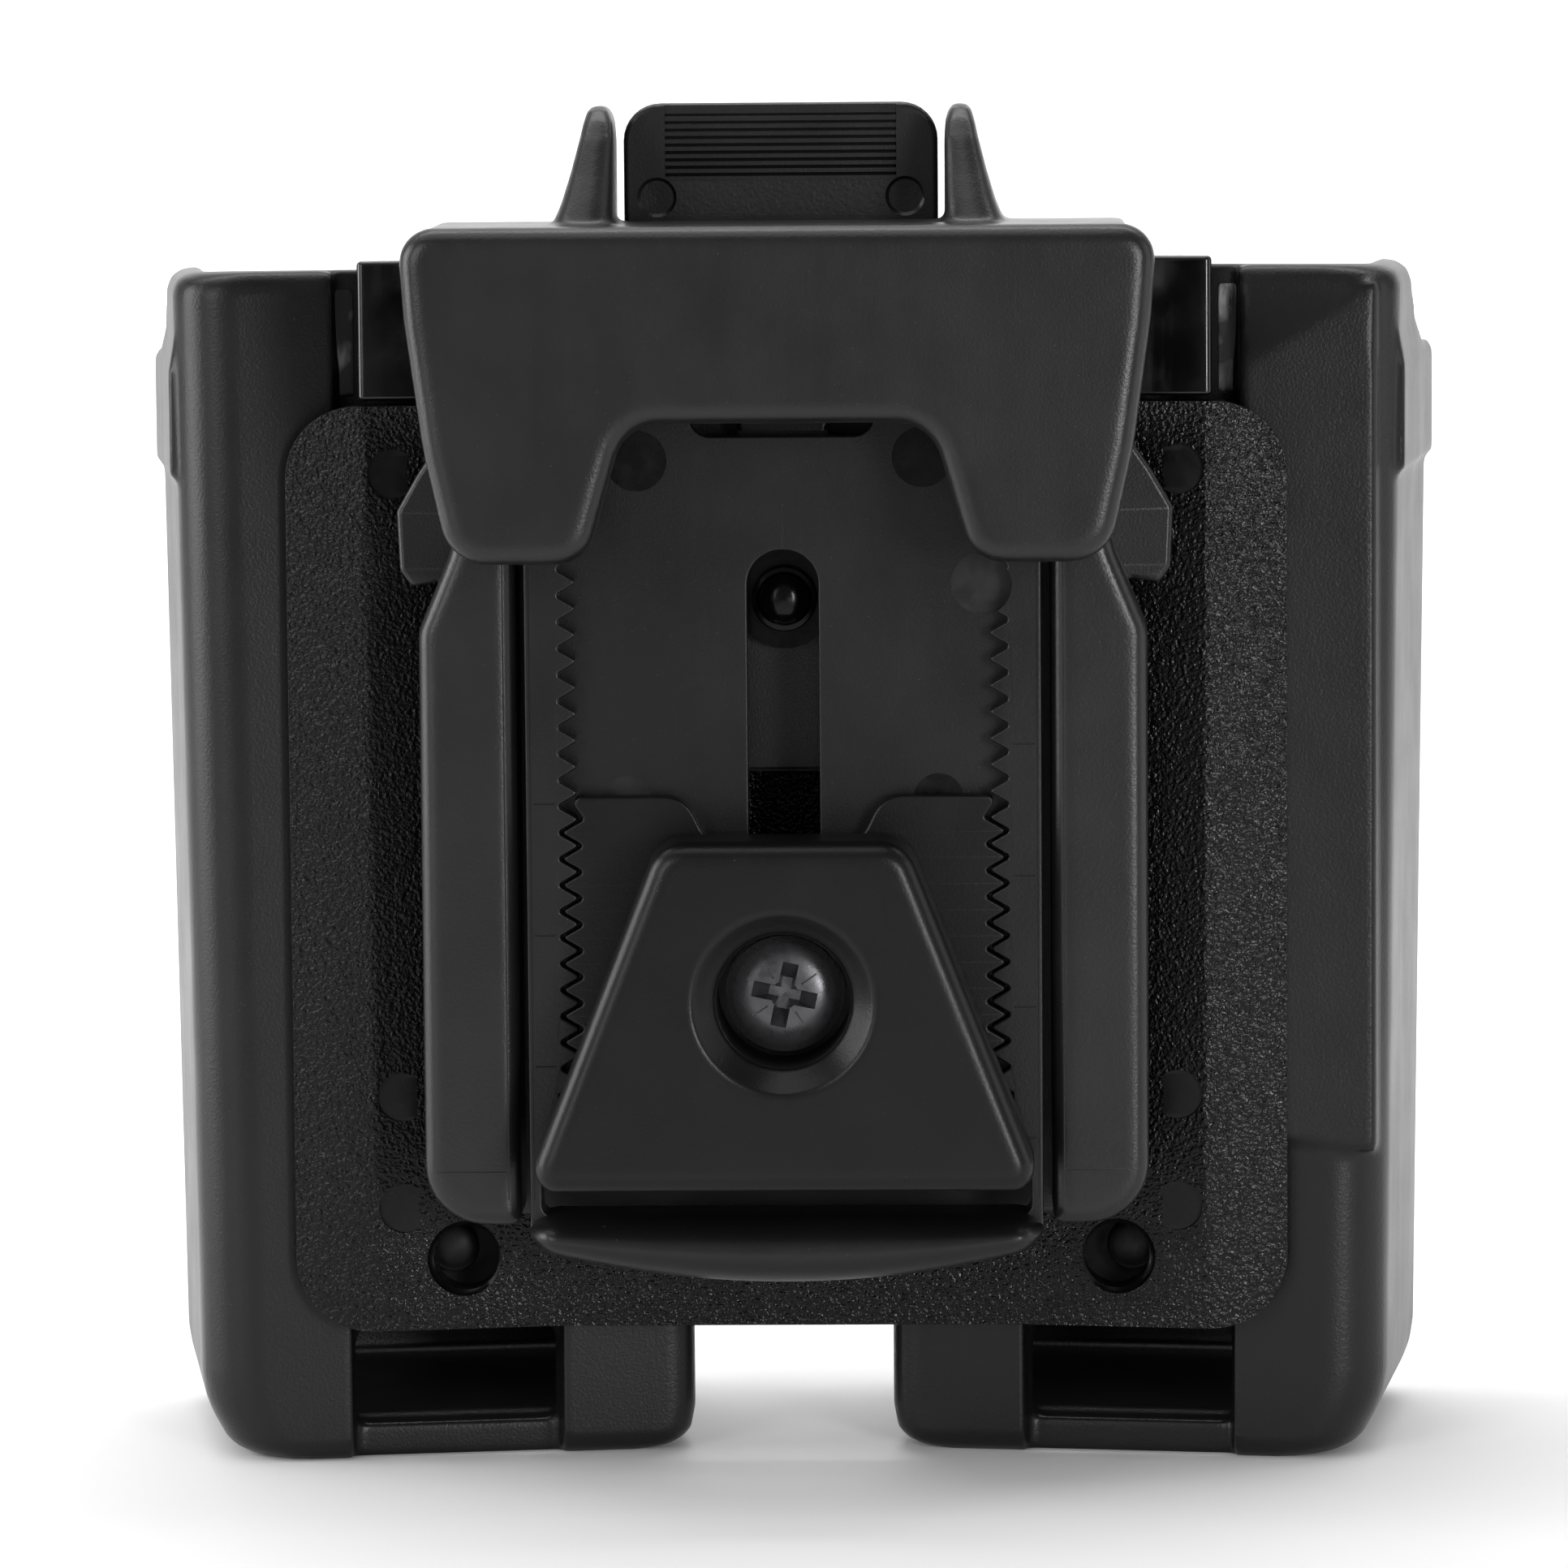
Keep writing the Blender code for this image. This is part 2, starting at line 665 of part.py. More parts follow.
def release_lever():
    """The thumb tab, its barrel on the pin, and the arm whose nib drops into the ring's notches."""
    pin_y, pin_z = LEVER_PIN
    near, far = -13.6, -11.8
    half = [
        (0, 74.6),
        (3.4, 74.6, 1.0),
        (3.4, 82.0, 1.5),
        (10.6, 84.6, 1.0),
        (10.6, 94.0, 1.0),
        (11.9, 95.5, 1.0),
        (11.9, 105.8, 2.8),
        (0, 105.8),
    ]
    body = front_plate("release_lever", [outline(mirrored(half))], near, far, "moulded_black")
    barrel = side_plate("barrel", [circle(pin_y, pin_z, 1.75, 20)], -12.2, 12.2)
    nib = box("nib", (-0.95, 0.95), (near + 0.3, -6.6), (75.2, 77.2))
    join(body, barrel, nib)
    coil_room = box("coil_room", (-3.2, 3.2), (-16, -10.7), (pin_z - 2.4, pin_z + 2.4))
    thin_arm = box("thin_arm", (-5, 5), (-16, -12.9), (70, 81))
    bore = side_plate("barrel_bore", [circle(pin_y, pin_z, PIN_BORE, 16)], -20, 20)
    dimples = [cone(f"dimple_{side}", side * 9.4, 98.7, -15, near + 0.45, 1.5) for side in (-1, 1)]
    cut(body, coil_room, thin_arm, bore, *dimples)
    return body


def lever_pin():
    pin_y, pin_z = LEVER_PIN
    return side_plate("lever_pin", [circle(pin_y, pin_z, PIN_RADIUS, 16)], -15.4, 15.4, "blackened_steel")


def lever_spring():
    """A torsion spring wound round the pin, with its legs on the lever and on the back plate."""
    pin_y, pin_z = LEVER_PIN
    turns, per_turn, half_width, coil = 5, 12, 2.2, 1.3
    route = [(half_width, pin_y + 1.3, pin_z - 4.2)]
    for i in range(turns * per_turn + 1):
        angle = 2 * pi * i / per_turn
        x = half_width - 2 * half_width * i / (turns * per_turn)
        route.append((x, pin_y + coil * cos(angle), pin_z + coil * sin(angle)))
    route.append((-half_width, pin_y + 1.75, pin_z + 3.2))
    curve = bpy.data.curves.new("lever_spring", "CURVE")
    curve.dimensions = "3D"
    curve.bevel_depth = 0.25 * MM
    curve.bevel_resolution = 1
    curve.use_fill_caps = True
    spline = curve.splines.new("POLY")
    spline.points.add(len(route) - 1)
    for point, place in zip(spline.points, route):
        point.co = (*(Vector(place) * MM), 1)
    obj = bpy.data.objects.new("lever_spring", curve)
    collection(MODEL).objects.link(obj)
    material(obj, "spring_steel")
    return obj


def tongue():
    """The sprung panel: toothed strips, a recessed floor with the slot, and the finger lip."""
    low_tooth, top_tooth = TONGUE_TEETH_Z
    root = TOOTH_TIP_X + TOOTH_DEPTH
    top = HINGE_Z + 1.0
    panel = mirrored([(0, 20.0), (TONGUE_HALF, 20.0), (TONGUE_HALF, top, 1.0), (0, top)])
    body = front_plate("tongue", [outline(panel)], STRIP_FACE, TONGUE_BACK, "moulded_black")
    edge = teeth(root, TOOTH_TIP_X, low_tooth, top_tooth)
    below = [(0, 26.0), (root - 0.6, 26.0), (root, 27.0)]
    above = [(root - 1.2, 77.0), (12.6, 80.6), (10.2, 84.0), (0, 84.0)]
    floor = mirrored([*below, *edge, *above])
    pocket = front_plate("pocket", [floor], STRIP_FACE - 5, POCKET_FACE)
    slot = outline([(2.7, 29.5, 2.6), (2.7, 72.2, 2.6), (-2.7, 72.2, 2.6), (-2.7, 29.5, 2.6)])
    top_opening = outline([(7.0, 80.8, 1.6), (7.0, 86.5, 1.6), (-7.0, 86.5, 1.6), (-7.0, 80.8, 1.6)])
    lip_gap = outline([(16.4, 22.2, 1.2), (16.4, 25.2, 1.2), (-16.4, 25.2, 1.2), (-16.4, 22.2, 1.2)])
    cut(
        body,
        pocket,
        front_plate("slot", [slot], -30, 0),
        front_plate("top_opening", [top_opening], -30, 0),
        front_plate("lip_gap", [lip_gap], -30, 0),
    )
    lip_end = [(17.6, 21.2, 1.5), (19.6, 20.0, 1.2), (19.4, 18.2, 1.2)]
    lip_half = [(0, 21.7), *lip_end, (11.0, 16.95, 8), (0, 16.6)]
    lip = front_plate("lip", [outline(mirrored(lip_half), 4)], -23.4, TONGUE_BACK)
    soften(lip, 1.4, 3)
    join(body, lip)
    return body


def nut_plate():
    """The flat nut behind the tongue, which slides with the jaw."""
    loop = outline([(8.5, 34.0, 1.2), (8.5, 43.8, 1.2), (-8.5, 43.8, 1.2), (-8.5, 34.0, 1.2)], 3)
    hole = circle(0, JAW_SCREW_Z, 2.65, 20)
    return front_plate("nut_plate", [loop, hole], TONGUE_BACK + 0.3, -13.6, "spring_steel")


def jaw():
    """The toothed lower jaw, whose raised block takes the belt's lower edge."""
    gap = 0.25
    back = POCKET_FACE - 0.2
    edge = teeth(TOOTH_TIP_X + TOOTH_DEPTH - gap, TOOTH_TIP_X - gap, 34.0, 52.0)
    notch = [(7.6, 53.7, 1.2), (5.2, 50.6, 1.2), (0, 50.6)]
    half = [(0, 31.5), (15.0, 31.5), *edge[1:-1], (14.6, 53.7), *notch]
    body = front_plate("jaw", [outline(mirrored(half), 3)], STRIP_FACE, back, "moulded_black")
    block_half = [(0, 51.05), (9.3, 51.05, 2.0), (18.9, 26.6, 2.4), (18.4, 24.55, 1.6), (0, 24.55)]
    block = front_plate("block", [outline(mirrored(block_half))], JAW_FACE, STRIP_FACE - gap)
    soften(block, 1.2, 2)
    neck_half = [(0, 32.5), (12.0, 32.5), (7.5, 50.0), (0, 50.0)]
    neck = front_plate("neck", [mirrored(neck_half)], STRIP_FACE - 2, back - 0.2)
    key_loop = outline([(2.4, 33.6, 2), (2.4, 44.2, 2), (-2.4, 44.2, 2), (-2.4, 33.6, 2)], 3)
    key = front_plate("key", [key_loop], back - 0.3, TONGUE_BACK - 0.1)
    join(body, neck, block, key)
    cut(
        body,
        cone("recess", 0, JAW_SCREW_Z, JAW_FACE - 1, -19.0, 5.05),
        cone("recess_flare", 0, JAW_SCREW_Z, JAW_FACE - 0.5, JAW_FACE + 1.5, 6.7, 5.0),
        cone("jaw_bore", 0, JAW_SCREW_Z, -30, 0, 2.15, sides=20),
    )
    return body


def jaw_screw():
    """A pan-head screw with a cross recess."""
    seat, tip = -19.95, -12.6
    profile = [
        (0, seat - 2.3),
        (2.6, seat - 2.15),
        (4.0, seat - 1.5),
        (4.55, seat - 0.6),
        (4.55, seat),
        (1.95, seat),
        (1.95, tip - 0.3),
        (1.5, tip),
        (0, tip),
    ]
    body = turned("jaw_screw", profile, 0, JAW_SCREW_Z, "blackened_steel")
    for i in range(2):
        across, along = (2.1, 0.45) if i else (0.45, 2.1)
        z = (JAW_SCREW_Z - along, JAW_SCREW_Z + along)
        cut(body, box(f"cross_{i}", (-across, across), (seat - 4, seat - 1.0), z))
    return body


# ---------------------------------------------------------------- the whole


def main():
    for obj in list(bpy.data.objects):
        bpy.data.objects.remove(obj, do_unlink=True)
    for side, word in ((-1, "left"), (1, "right")):
        pouch(f"{word}_pouch", side)
        retention_leaf(f"{word}_retention_leaf", side)
        for z, level in zip(PLATE_SCREW_Z, ("lower", "upper")):
            plate_screw(f"plate_screw_{level}_{word}", side, z)
    carrier()
    base_plate()
    detent_ring()
    pivot_rivet()
    washer("pivot_washer", PIVOT_Z, -11.7, -10.9, 3.9, 2.2, "blackened_steel")
    washer("wave_washer", PIVOT_Z, PLATE_BACK + 0.25, PLATE_BACK + 0.75, 4.2, 2.2, "spring_steel")
    clip_frame()
    back_plate()
    for name, x, z in BACK_SCREWS:
        back_screw(name, x, z)
    release_lever()
    lever_pin()
    lever_spring()
    tongue()
    nut_plate()
    jaw()
    jaw_screw()
    washer("jaw_washer", JAW_SCREW_Z, -19.7, -19.25, 4.5, 2.15, "blackened_steel")


main()
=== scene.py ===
"""Looks of a belt-worn twin pouch holder with a swivelling, width-adjustable, quick-release belt clip.

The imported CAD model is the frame. Sizes below are in millimetres, in the frame's own axes: +Z is up, -Y
faces the wearer, and the origin is the middle of the footprint. MM turns them into metres.
"""

from math import cos, pi, radians, sin, sqrt, tan

import bmesh
import bpy
from mathutils import Matrix, Vector


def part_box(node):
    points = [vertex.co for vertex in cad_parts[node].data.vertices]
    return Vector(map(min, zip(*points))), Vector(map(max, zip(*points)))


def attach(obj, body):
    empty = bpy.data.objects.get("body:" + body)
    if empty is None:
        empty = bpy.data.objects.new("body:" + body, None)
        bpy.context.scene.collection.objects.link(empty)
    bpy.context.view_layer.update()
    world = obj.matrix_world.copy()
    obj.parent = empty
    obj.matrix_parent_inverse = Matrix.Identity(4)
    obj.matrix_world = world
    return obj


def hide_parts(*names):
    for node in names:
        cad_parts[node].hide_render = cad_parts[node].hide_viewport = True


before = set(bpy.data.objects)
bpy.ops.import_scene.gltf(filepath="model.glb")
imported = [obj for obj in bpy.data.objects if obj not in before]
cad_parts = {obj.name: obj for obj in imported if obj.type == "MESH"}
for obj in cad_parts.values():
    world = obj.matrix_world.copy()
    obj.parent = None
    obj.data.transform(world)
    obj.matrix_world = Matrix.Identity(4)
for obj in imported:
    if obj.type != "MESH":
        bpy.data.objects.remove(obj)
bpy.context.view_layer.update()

MM = 0.001


def span(node):
    """The lowest and highest corners of a CAD node, in millimetres."""
    low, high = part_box(node)
    return low / MM, high / MM


# ---------------- sizes, from the frame where it has them

PLATE_LOW, PLATE_HIGH = span("base_plate")
FRAME_LOW, FRAME_HIGH = span("clip_frame")
TONGUE_LOW, TONGUE_HIGH = span("tongue")
RIVET_LOW, RIVET_HIGH = span("pivot_rivet")
SCREW_LOW, SCREW_HIGH = span("jaw_screw")
CARRIER_HIGH = span("carrier")[1]
BACK_REAR = span("back_plate")[1].y
LEVER_TOP = span("release_lever")[1].z
JAW_FACE = span("jaw")[0].y
PIVOT_Z = (RIVET_LOW.z + RIVET_HIGH.z) / 2
JAW_SCREW_Z = (SCREW_LOW.z + SCREW_HIGH.z) / 2

SIDES = {-1: "left", 1: "right"}
YAW = 8.5  # each pouch turns its outer end towards the wearer by this many degrees
FACET_X, CREST_X = 17.75, 32.25  # where the plate's wings begin, and their crest
PLATE_HALF = PLATE_HIGH.x
PLATE_FACE, PLATE_BACK, CREST_FACE, EDGE_FACE = -5.9, -2.9, -8.2, -7.1
POUCH_BACK = -2.6
POUCH_MID_X = 26.2
POUCH_OUTER, POUCH_INNER, POUCH_DEPTH = 20.3, 18.9, 32.45
POUCH_DRAFT = 0.0118  # the outer side leans outwards by this much per millimetre of height
POUCH_TOP, POUCH_FRONT_TOP = span("right_pouch")[1].z, 86.0
BACK_WALL, SIDE_WALL, FLOOR = 3.4, 2.2, 3.0
CHANNEL_HALF_LOW, CHANNEL_HALF_TOP, CHANNEL_DEEP = 8.1, 8.8, 1.9
WINDOW_LOW, WINDOW_TOP, WINDOW_HALF = 2.6, 60.0, 6.0
MOUTH_TOP, MOUTH_HALF = 10.4, 7.9
HOOD_FACE, HOOD_WALL = FRAME_LOW.y, 3.4
STRIP_FACE = -19.7
RAIL_FACE, RAIL_BACK = -19.9, FRAME_HIGH.y
POCKET_FACE, TONGUE_BACK, LIP_BACK = -17.8, TONGUE_HIGH.y, -18.6
TOOTH_PITCH, TOOTH_DEPTH, TOOTH_TIP_X, TOOTH_ROUND = 2.0, 1.75, 15.45, 0.22
TOOTH_ROOT_X = TOOTH_TIP_X + TOOTH_DEPTH
TONGUE_TEETH_Z = (32.0, 74.0)
JAW_TEETH_Z = (34.0, 52.0)
JAW_GAP, JAW_BORE, JAW_WELL, JAW_WELL_FLOOR = 0.25, 2.15, 5.05, -19.0
RAIL_INNER, RAIL_OUTER = 20.2, FRAME_HIGH.x - 0.35
PIVOT_BORE = 2.15
PIN_Y, PIN_Z = -12.7, 87.0
BACK_SCREWS = [(side * 22.2, z) for side in SIDES for z in (27.0, 83.5)]
ACCESS_X, ACCESS_Z = 25.3, 16.35
PLATE_SCREW_IN, PLATE_SCREW_Z = 0.7, (33.1, 62.0)

# The camera's distance from its target, and the degrees by which it is turned towards +X, raised and rolled.
TARGET = Vector((0.016, -18.9, 54.55))
CAMERA_DISTANCE = 575.0
CAMERA_TURN, CAMERA_RISE, CAMERA_ROLL = 1.4, 6.0, -0.45
SENSOR, LENS = 36.0, 174.6


# ---------------- outlines


def arc_corner(before, corner, after, radius, steps):
    """Points of the round that replaces a corner, from the side before it to the side after it."""
    a = (Vector(before) - Vector(corner)).normalized()
    b = (Vector(after) - Vector(corner)).normalized()
    half = a.angle(b) / 2
    reach = radius / tan(half)
    centre = Vector(corner) + (a + b).normalized() * radius / sin(half)
    start = Vector(corner) + a * reach - centre
    end = Vector(corner) + b * reach - centre
    sweep = start.angle_signed(end)
    turned_points = [Matrix.Rotation(-sweep * i / steps, 2) @ start for i in range(steps + 1)]
    return [tuple(centre + point) for point in turned_points]


def outline(corners, steps=8):
    """Turns (x, y) and (x, y, radius) corners into plain points, with the radii as arcs."""
    points = []
    for i, corner in enumerate(corners):
        if len(corner) == 2 or corner[2] == 0:
            points.append(corner[:2])
        else:
            before, after = corners[i - 1], corners[(i + 1) % len(corners)]
            points += arc_corner(before[:2], corner[:2], after[:2], corner[2], steps)
    return points


def mirrored(corners):
    """Both halves of an outline from its right half, which starts and ends on the middle line."""
    left = [(-c[0], *c[1:]) for c in reversed(corners) if c[0] > 0]
    return corners + left


def both_sides(corners, steps=8):
    return outline(mirrored(corners), steps)


def slot_corners(half_width, low, high, radius):
    right = [(half_width, low, radius), (half_width, high, radius)]
    return right + [(-x, z, radius) for x, z, radius in reversed(right)]


def circle(x, y, radius, count=48):
    angles = [2 * pi * i / count for i in range(count)]
    return [(x + radius * cos(angle), y + radius * sin(angle)) for angle in angles]


def teeth(x_root, x_tip, low, high):
    """(x, z) points up one toothed edge, with its tips on whole pitches from low to high."""
    points = [(x_root, low - TOOTH_PITCH / 2)]
    for i in range(round((high - low) / TOOTH_PITCH) + 1):
        z = low + i * TOOTH_PITCH
        points += [(x_tip, z, TOOTH_ROUND), (x_root, z + TOOTH_PITCH / 2, TOOTH_ROUND)]
    return points


def on_side(side, inner, outer):
    """The span between two widths, on the left (-1) or on the right (1)."""
    return sorted((side * inner, side * outer))


# ---------------- solids

UPRIGHT = Matrix.Rotation(pi / 2, 4, "X")  # takes (x, y, z) to (x, -z, y)
SIDEWAYS = Matrix.Rotation(pi / 2, 4, "Z") @ UPRIGHT  # takes (x, y, z) to (z, x, y)


def placed(name, data):
    obj = bpy.data.objects.new(name, data)
    bpy.context.scene.collection.objects.link(obj)
    return obj


def evaluated_mesh(obj):
    return bpy.data.meshes.new_from_object(obj.evaluated_get(bpy.context.evaluated_depsgraph_get()))


def flat_mesh(loops, low, high, round_by, steps):
    """A closed mesh of an outline and its holes, between two heights, with rounded edges."""
    curve = bpy.data.curves.new("outline", "CURVE")
    curve.dimensions = "2D"
    curve.fill_mode = "BOTH"
    curve.extrude = ((high - low) / 2 - round_by) * MM
    curve.bevel_depth = round_by * MM
    curve.bevel_resolution = steps
    curve.offset = -round_by * MM
    for loop in loops:
        spline = curve.splines.new("POLY")
        spline.points.add(len(loop) - 1)
        for point, (x, y) in zip(spline.points, loop):
            point.co = (x * MM, y * MM, 0, 1)
        spline.use_cyclic_u = True
    guide = placed("outline", curve)
    mesh = evaluated_mesh(guide)
    bpy.data.objects.remove(guide)
    bpy.data.curves.remove(curve)
    mesh.transform(Matrix.Translation((0, 0, (low + high) / 2 * MM)))
    work = bmesh.new()
    work.from_mesh(mesh)
    bmesh.ops.remove_doubles(work, verts=work.verts, dist=1e-6)
    bmesh.ops.recalc_face_normals(work, faces=work.faces)
    work.to_mesh(mesh)
    work.free()
    return mesh


def front_plate(name, loops, near, far, round_by=0.0, steps=3):
    """A plate whose outline is seen from the front, as (x, z) points, between two depths."""
    mesh = flat_mesh(loops, -far, -near, round_by, steps)
    mesh.transform(UPRIGHT)
    return placed(name, mesh)


def plan_plate(name, loops, low, high, round_by=0.0, steps=3):
    """A plate whose outline is seen from above, as (x, y) points, between two heights."""
    return placed(name, flat_mesh(loops, low, high, round_by, steps))


def side_plate(name, loops, left, right, round_by=0.0, steps=3):
    """A plate whose outline is seen from the side, as (y, z) points, between two widths."""
    mesh = flat_mesh(loops, left, right, round_by, steps)
    mesh.transform(SIDEWAYS)
    return placed(name, mesh)


def block(name, x, y, z):
    """A sharp-edged block between two widths, two depths and two heights, for cutting and joining."""
    mesh = bpy.data.meshes.new(name)
    work = bmesh.new()
    bmesh.ops.create_cube(work, size=1)
    size = Vector((x[1] - x[0], y[1] - y[0], z[1] - z[0])) * MM
    middle = Vector((x[0] + x[1], y[0] + y[1], z[0] + z[1])) / 2 * MM
    bmesh.ops.scale(work, vec=size, verts=work.verts)
    bmesh.ops.translate(work, vec=middle, verts=work.verts)
    work.to_mesh(mesh)
    work.free()
    return placed(name, mesh)


def loft(name, rings):
    """A closed solid through rings of equally many (x, y, z) points."""
    mesh = bpy.data.meshes.new(name)
    work = bmesh.new()
    loops = [[work.verts.new(Vector(point) * MM) for point in ring] for ring in rings]
    for lower, upper in zip(loops, loops[1:]):
        for i in range(len(lower)):
            j = (i + 1) % len(lower)
            work.faces.new((lower[i], lower[j], upper[j], upper[i]))
    work.faces.new(loops[0])
    work.faces.new(loops[-1])
    bmesh.ops.recalc_face_normals(work, faces=work.faces)
    work.to_mesh(mesh)
    work.free()
    return placed(name, mesh)


def turned(name, profile, x, z, sides=64):
    """A piece turned about a line along the depth: profile is (radius, depth) from front to back."""
    smallest, rings = 0.01, []
    for radius, depth in profile:
        ring = circle(x, z, max(radius, smallest), sides)
        rings.append([(across, depth, up) for across, up in ring])
    return loft(name, rings)


def rod(name, radius, near, far, x, z, sides=64):
    """A plain round rod between two depths, to cut a bore."""
    return turned(name, [(0, near), (radius, near), (radius, far), (0, far)], x, z, sides)


def rounded_profile(corners, steps=5):
    """A profile for turned(), whose (radius, depth, round) corners are rounded as an open line."""
    points = [corners[0][:2]]
    for before, corner, after in zip(corners, corners[1:], corners[2:]):
        if len(corner) == 3:
            points += arc_corner(before[:2], corner[:2], after[:2], corner[2], steps)
        else:
            points.append(corner)
    return points + [corners[-1][:2]]


def boolean(obj, other, operation):
    modifier = obj.modifiers.new(operation.lower(), "BOOLEAN")
    modifier.operation = operation
    modifier.object = other
    modifier.solver = "MANIFOLD"


def apply_modifiers(obj):
    mesh = evaluated_mesh(obj)
    old = obj.data
    obj.modifiers.clear()
    obj.data = mesh
    bpy.data.meshes.remove(old)


def combine(obj, joined, cutters=()):
    """Joins solids to obj and cuts others out of it, then throws the helpers away."""
    for other in joined:
        boolean(obj, other, "UNION")
    for other in cutters:
        boolean(obj, other, "DIFFERENCE")
    apply_modifiers(obj)
    for other in (*joined, *cutters):
        bpy.data.objects.remove(other)


def skin(obj, voxel, passes, keep):
    """Remeshes obj at one size, relaxes it so that edges and corners are softly rounded, and thins it."""
    remesh = obj.modifiers.new("skin", "REMESH")
    remesh.mode = "VOXEL"
    remesh.voxel_size = voxel * MM
    relax = obj.modifiers.new("relax", "SMOOTH")
    relax.factor = 0.5
    relax.iterations = passes
    thin = obj.modifiers.new("thin", "DECIMATE")
    thin.ratio = keep
    apply_modifiers(obj)


def soften(obj, width, segments, angle):
    """Rounds the edges that turn by more than angle."""
    bevel = obj.modifiers.new("soften", "BEVEL")
    bevel.width = width * MM
    bevel.segments = segments
    bevel.limit_method = "ANGLE"
    bevel.angle_limit = radians(angle)
    bevel.use_clamp_overlap = True
    apply_modifiers(obj)


def shade(obj, angle=35):
    """Smooth shading with true flats: sharp where faces turn by more than angle."""
    obj.data.shade_smooth()
    obj.data.set_sharp_from_angle(angle=radians(angle))
    weighted = obj.modifiers.new("flats", "WEIGHTED_NORMAL")
    weighted.keep_sharp = True
    weighted.weight = 80


def coat(obj, *materials):
    """Gives a piece its materials, with the first one all over it."""
    obj.data.materials.clear()
    for material in materials:
        obj.data.materials.append(material)
    if obj.type == "MESH":
        obj.data.polygons.foreach_set("material_index", [0] * len(obj.data.polygons))


def finish_piece(obj, body, node, material=None):
    """Ties a piece to the frame, in place of a CAD node if there is one, and coats it if that isn't done."""
    if material:
        coat(obj, material)
    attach(obj, body)
    if node:
        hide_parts(node)


# ---------------- materials


class Nodes:
    """A Principled material with short calls for the textures that drive it."""

    def __init__(self, name, colour, roughness, metallic=0.0, specular=0.5):
        self.material = bpy.data.materials.new(name)
        self.material.use_nodes = True
        self.tree = self.material.node_tree
        self.shader = self.tree.nodes["Principled BSDF"]
        self.use("Base Color", (*colour, 1))
        self.use("Roughness", roughness)
        self.use("Metallic", metallic)
        self.use("Specular IOR Level", specular)
        self.place = self.add("TexCoord").outputs["Object"]

    def feed(self, socket, value):
        """Gives an input its value, or another node's output to follow."""
        if isinstance(value, bpy.types.NodeSocket):
            self.tree.links.new(value, socket)
        else:
            socket.default_value = value

    def use(self, socket, value):
        self.feed(self.shader.inputs[socket], value)

    def add(self, kind, inputs=None, **settings):
        node = self.tree.nodes.new("ShaderNode" + kind)
        for key, value in settings.items():
            setattr(node, key, value)
        for socket, value in (inputs or {}).items():
            self.feed(node.inputs[socket], value)
        return node

    def noise(self, size, detail=3.0, roughness=0.55, stretch=None):
        """Noise whose features are about size millimetres across."""
        place = self.place
        if stretch:
            place = self.add("Mapping", {"Vector": place, "Scale": stretch}).outputs["Vector"]
        inputs = {"Vector": place, "Scale": 1 / (size * MM), "Detail": detail, "Roughness": roughness}
        return self.add("TexNoise", inputs).outputs["Fac"]

    def cells(self, size):
        inputs = {"Vector": self.place, "Scale": 1 / (size * MM)}
        return self.add("TexVoronoi", inputs, feature="SMOOTH_F1").outputs["Distance"]

    def remap(self, source, low, high, to_low=0.0, to_high=1.0):
        inputs = {"Value": source, "From Min": low, "From Max": high, "To Min": to_low, "To Max": to_high}
        return self.add("MapRange", inputs).outputs["Result"]

    def maths(self, operation, a, b):
        return self.add("Math", {0: a, 1: b}, operation=operation).outputs["Value"]

    def tint(self, factor, first, second):
        """Mixes two colours, each plain or another node's: a Mix node's inputs 6 and 7 and its output 2."""
        first, second = [(*one, 1) if isinstance(one, tuple) else one for one in (first, second)]
        return self.add("Mix", {0: factor, 6: first, 7: second}, data_type="RGBA").outputs[2]

    def bump(self, height, depth, strength, under=None):
        """Relief of about depth millimetres, on top of the relief under it."""
        inputs = {"Height": height, "Distance": depth * MM, "Strength": strength}
        if under:
            inputs["Normal"] = under
        return self.add("Bump", inputs).outputs["Normal"]


def moulded_plastic(name, colour, roughness, grain, depth, specular):
    """Black moulded nylon: fine grain, a cloudy sheen and a few fine specks of dust."""
    made = Nodes(name, colour, roughness, specular=specular)
    clouds = made.noise(7.0, detail=4.0)
    streaks = made.noise(3.0, detail=3.0, stretch=(1.0, 1.0, 0.16))
    sheen = made.remap(clouds, 0.35, 0.65, roughness - 0.02, roughness + 0.02)
    made.use("Roughness", made.maths("ADD", sheen, made.remap(streaks, 0.4, 0.7, -0.015, 0.015)))
    dust = made.remap(made.noise(0.12, detail=0.0), 0.86, 0.90)
    body = made.tint(made.remap(clouds, 0.3, 0.7), tuple(channel * 0.85 for channel in colour), colour)
    dust_colour = (0.08, 0.08, 0.078)
    made.use("Base Color", made.tint(dust, body, dust_colour))
    wobble = made.bump(made.noise(5.0, detail=1.0), 0.012, 0.3)
    made.use("Normal", made.bump(made.noise(grain, detail=2.0), depth, 1.0, under=wobble))
    return made.material


def textured_plastic(name, pebble, depth, colour, roughness):
    """A coarse spark texture: small hard-edged pebbles."""
    made = Nodes(name, (colour,) * 3, roughness, specular=0.22)
    fine = made.noise(pebble * 0.7, detail=1.0)
    relief = made.maths("ADD", made.cells(pebble), fine)
    made.use("Roughness", made.remap(fine, 0.35, 0.65, roughness - 0.06, roughness + 0.08))
    made.use("Normal", made.bump(relief, depth, 1.0))
    return made.material


def smooth_plastic(name, colour=0.003, roughness=0.26, specular=0.22):
    """The smooth marks that ejector pins and shut-offs leave in a textured moulding."""
    made = Nodes(name, (colour,) * 3, roughness, specular=specular)
    smudge = made.noise(1.6, detail=4.0)
    made.use("Roughness", made.remap(smudge, 0.35, 0.7, roughness - 0.06, roughness + 0.12))
    made.use("Normal", made.bump(made.noise(0.9, detail=2.0), 0.012, 0.6))
    return made.material


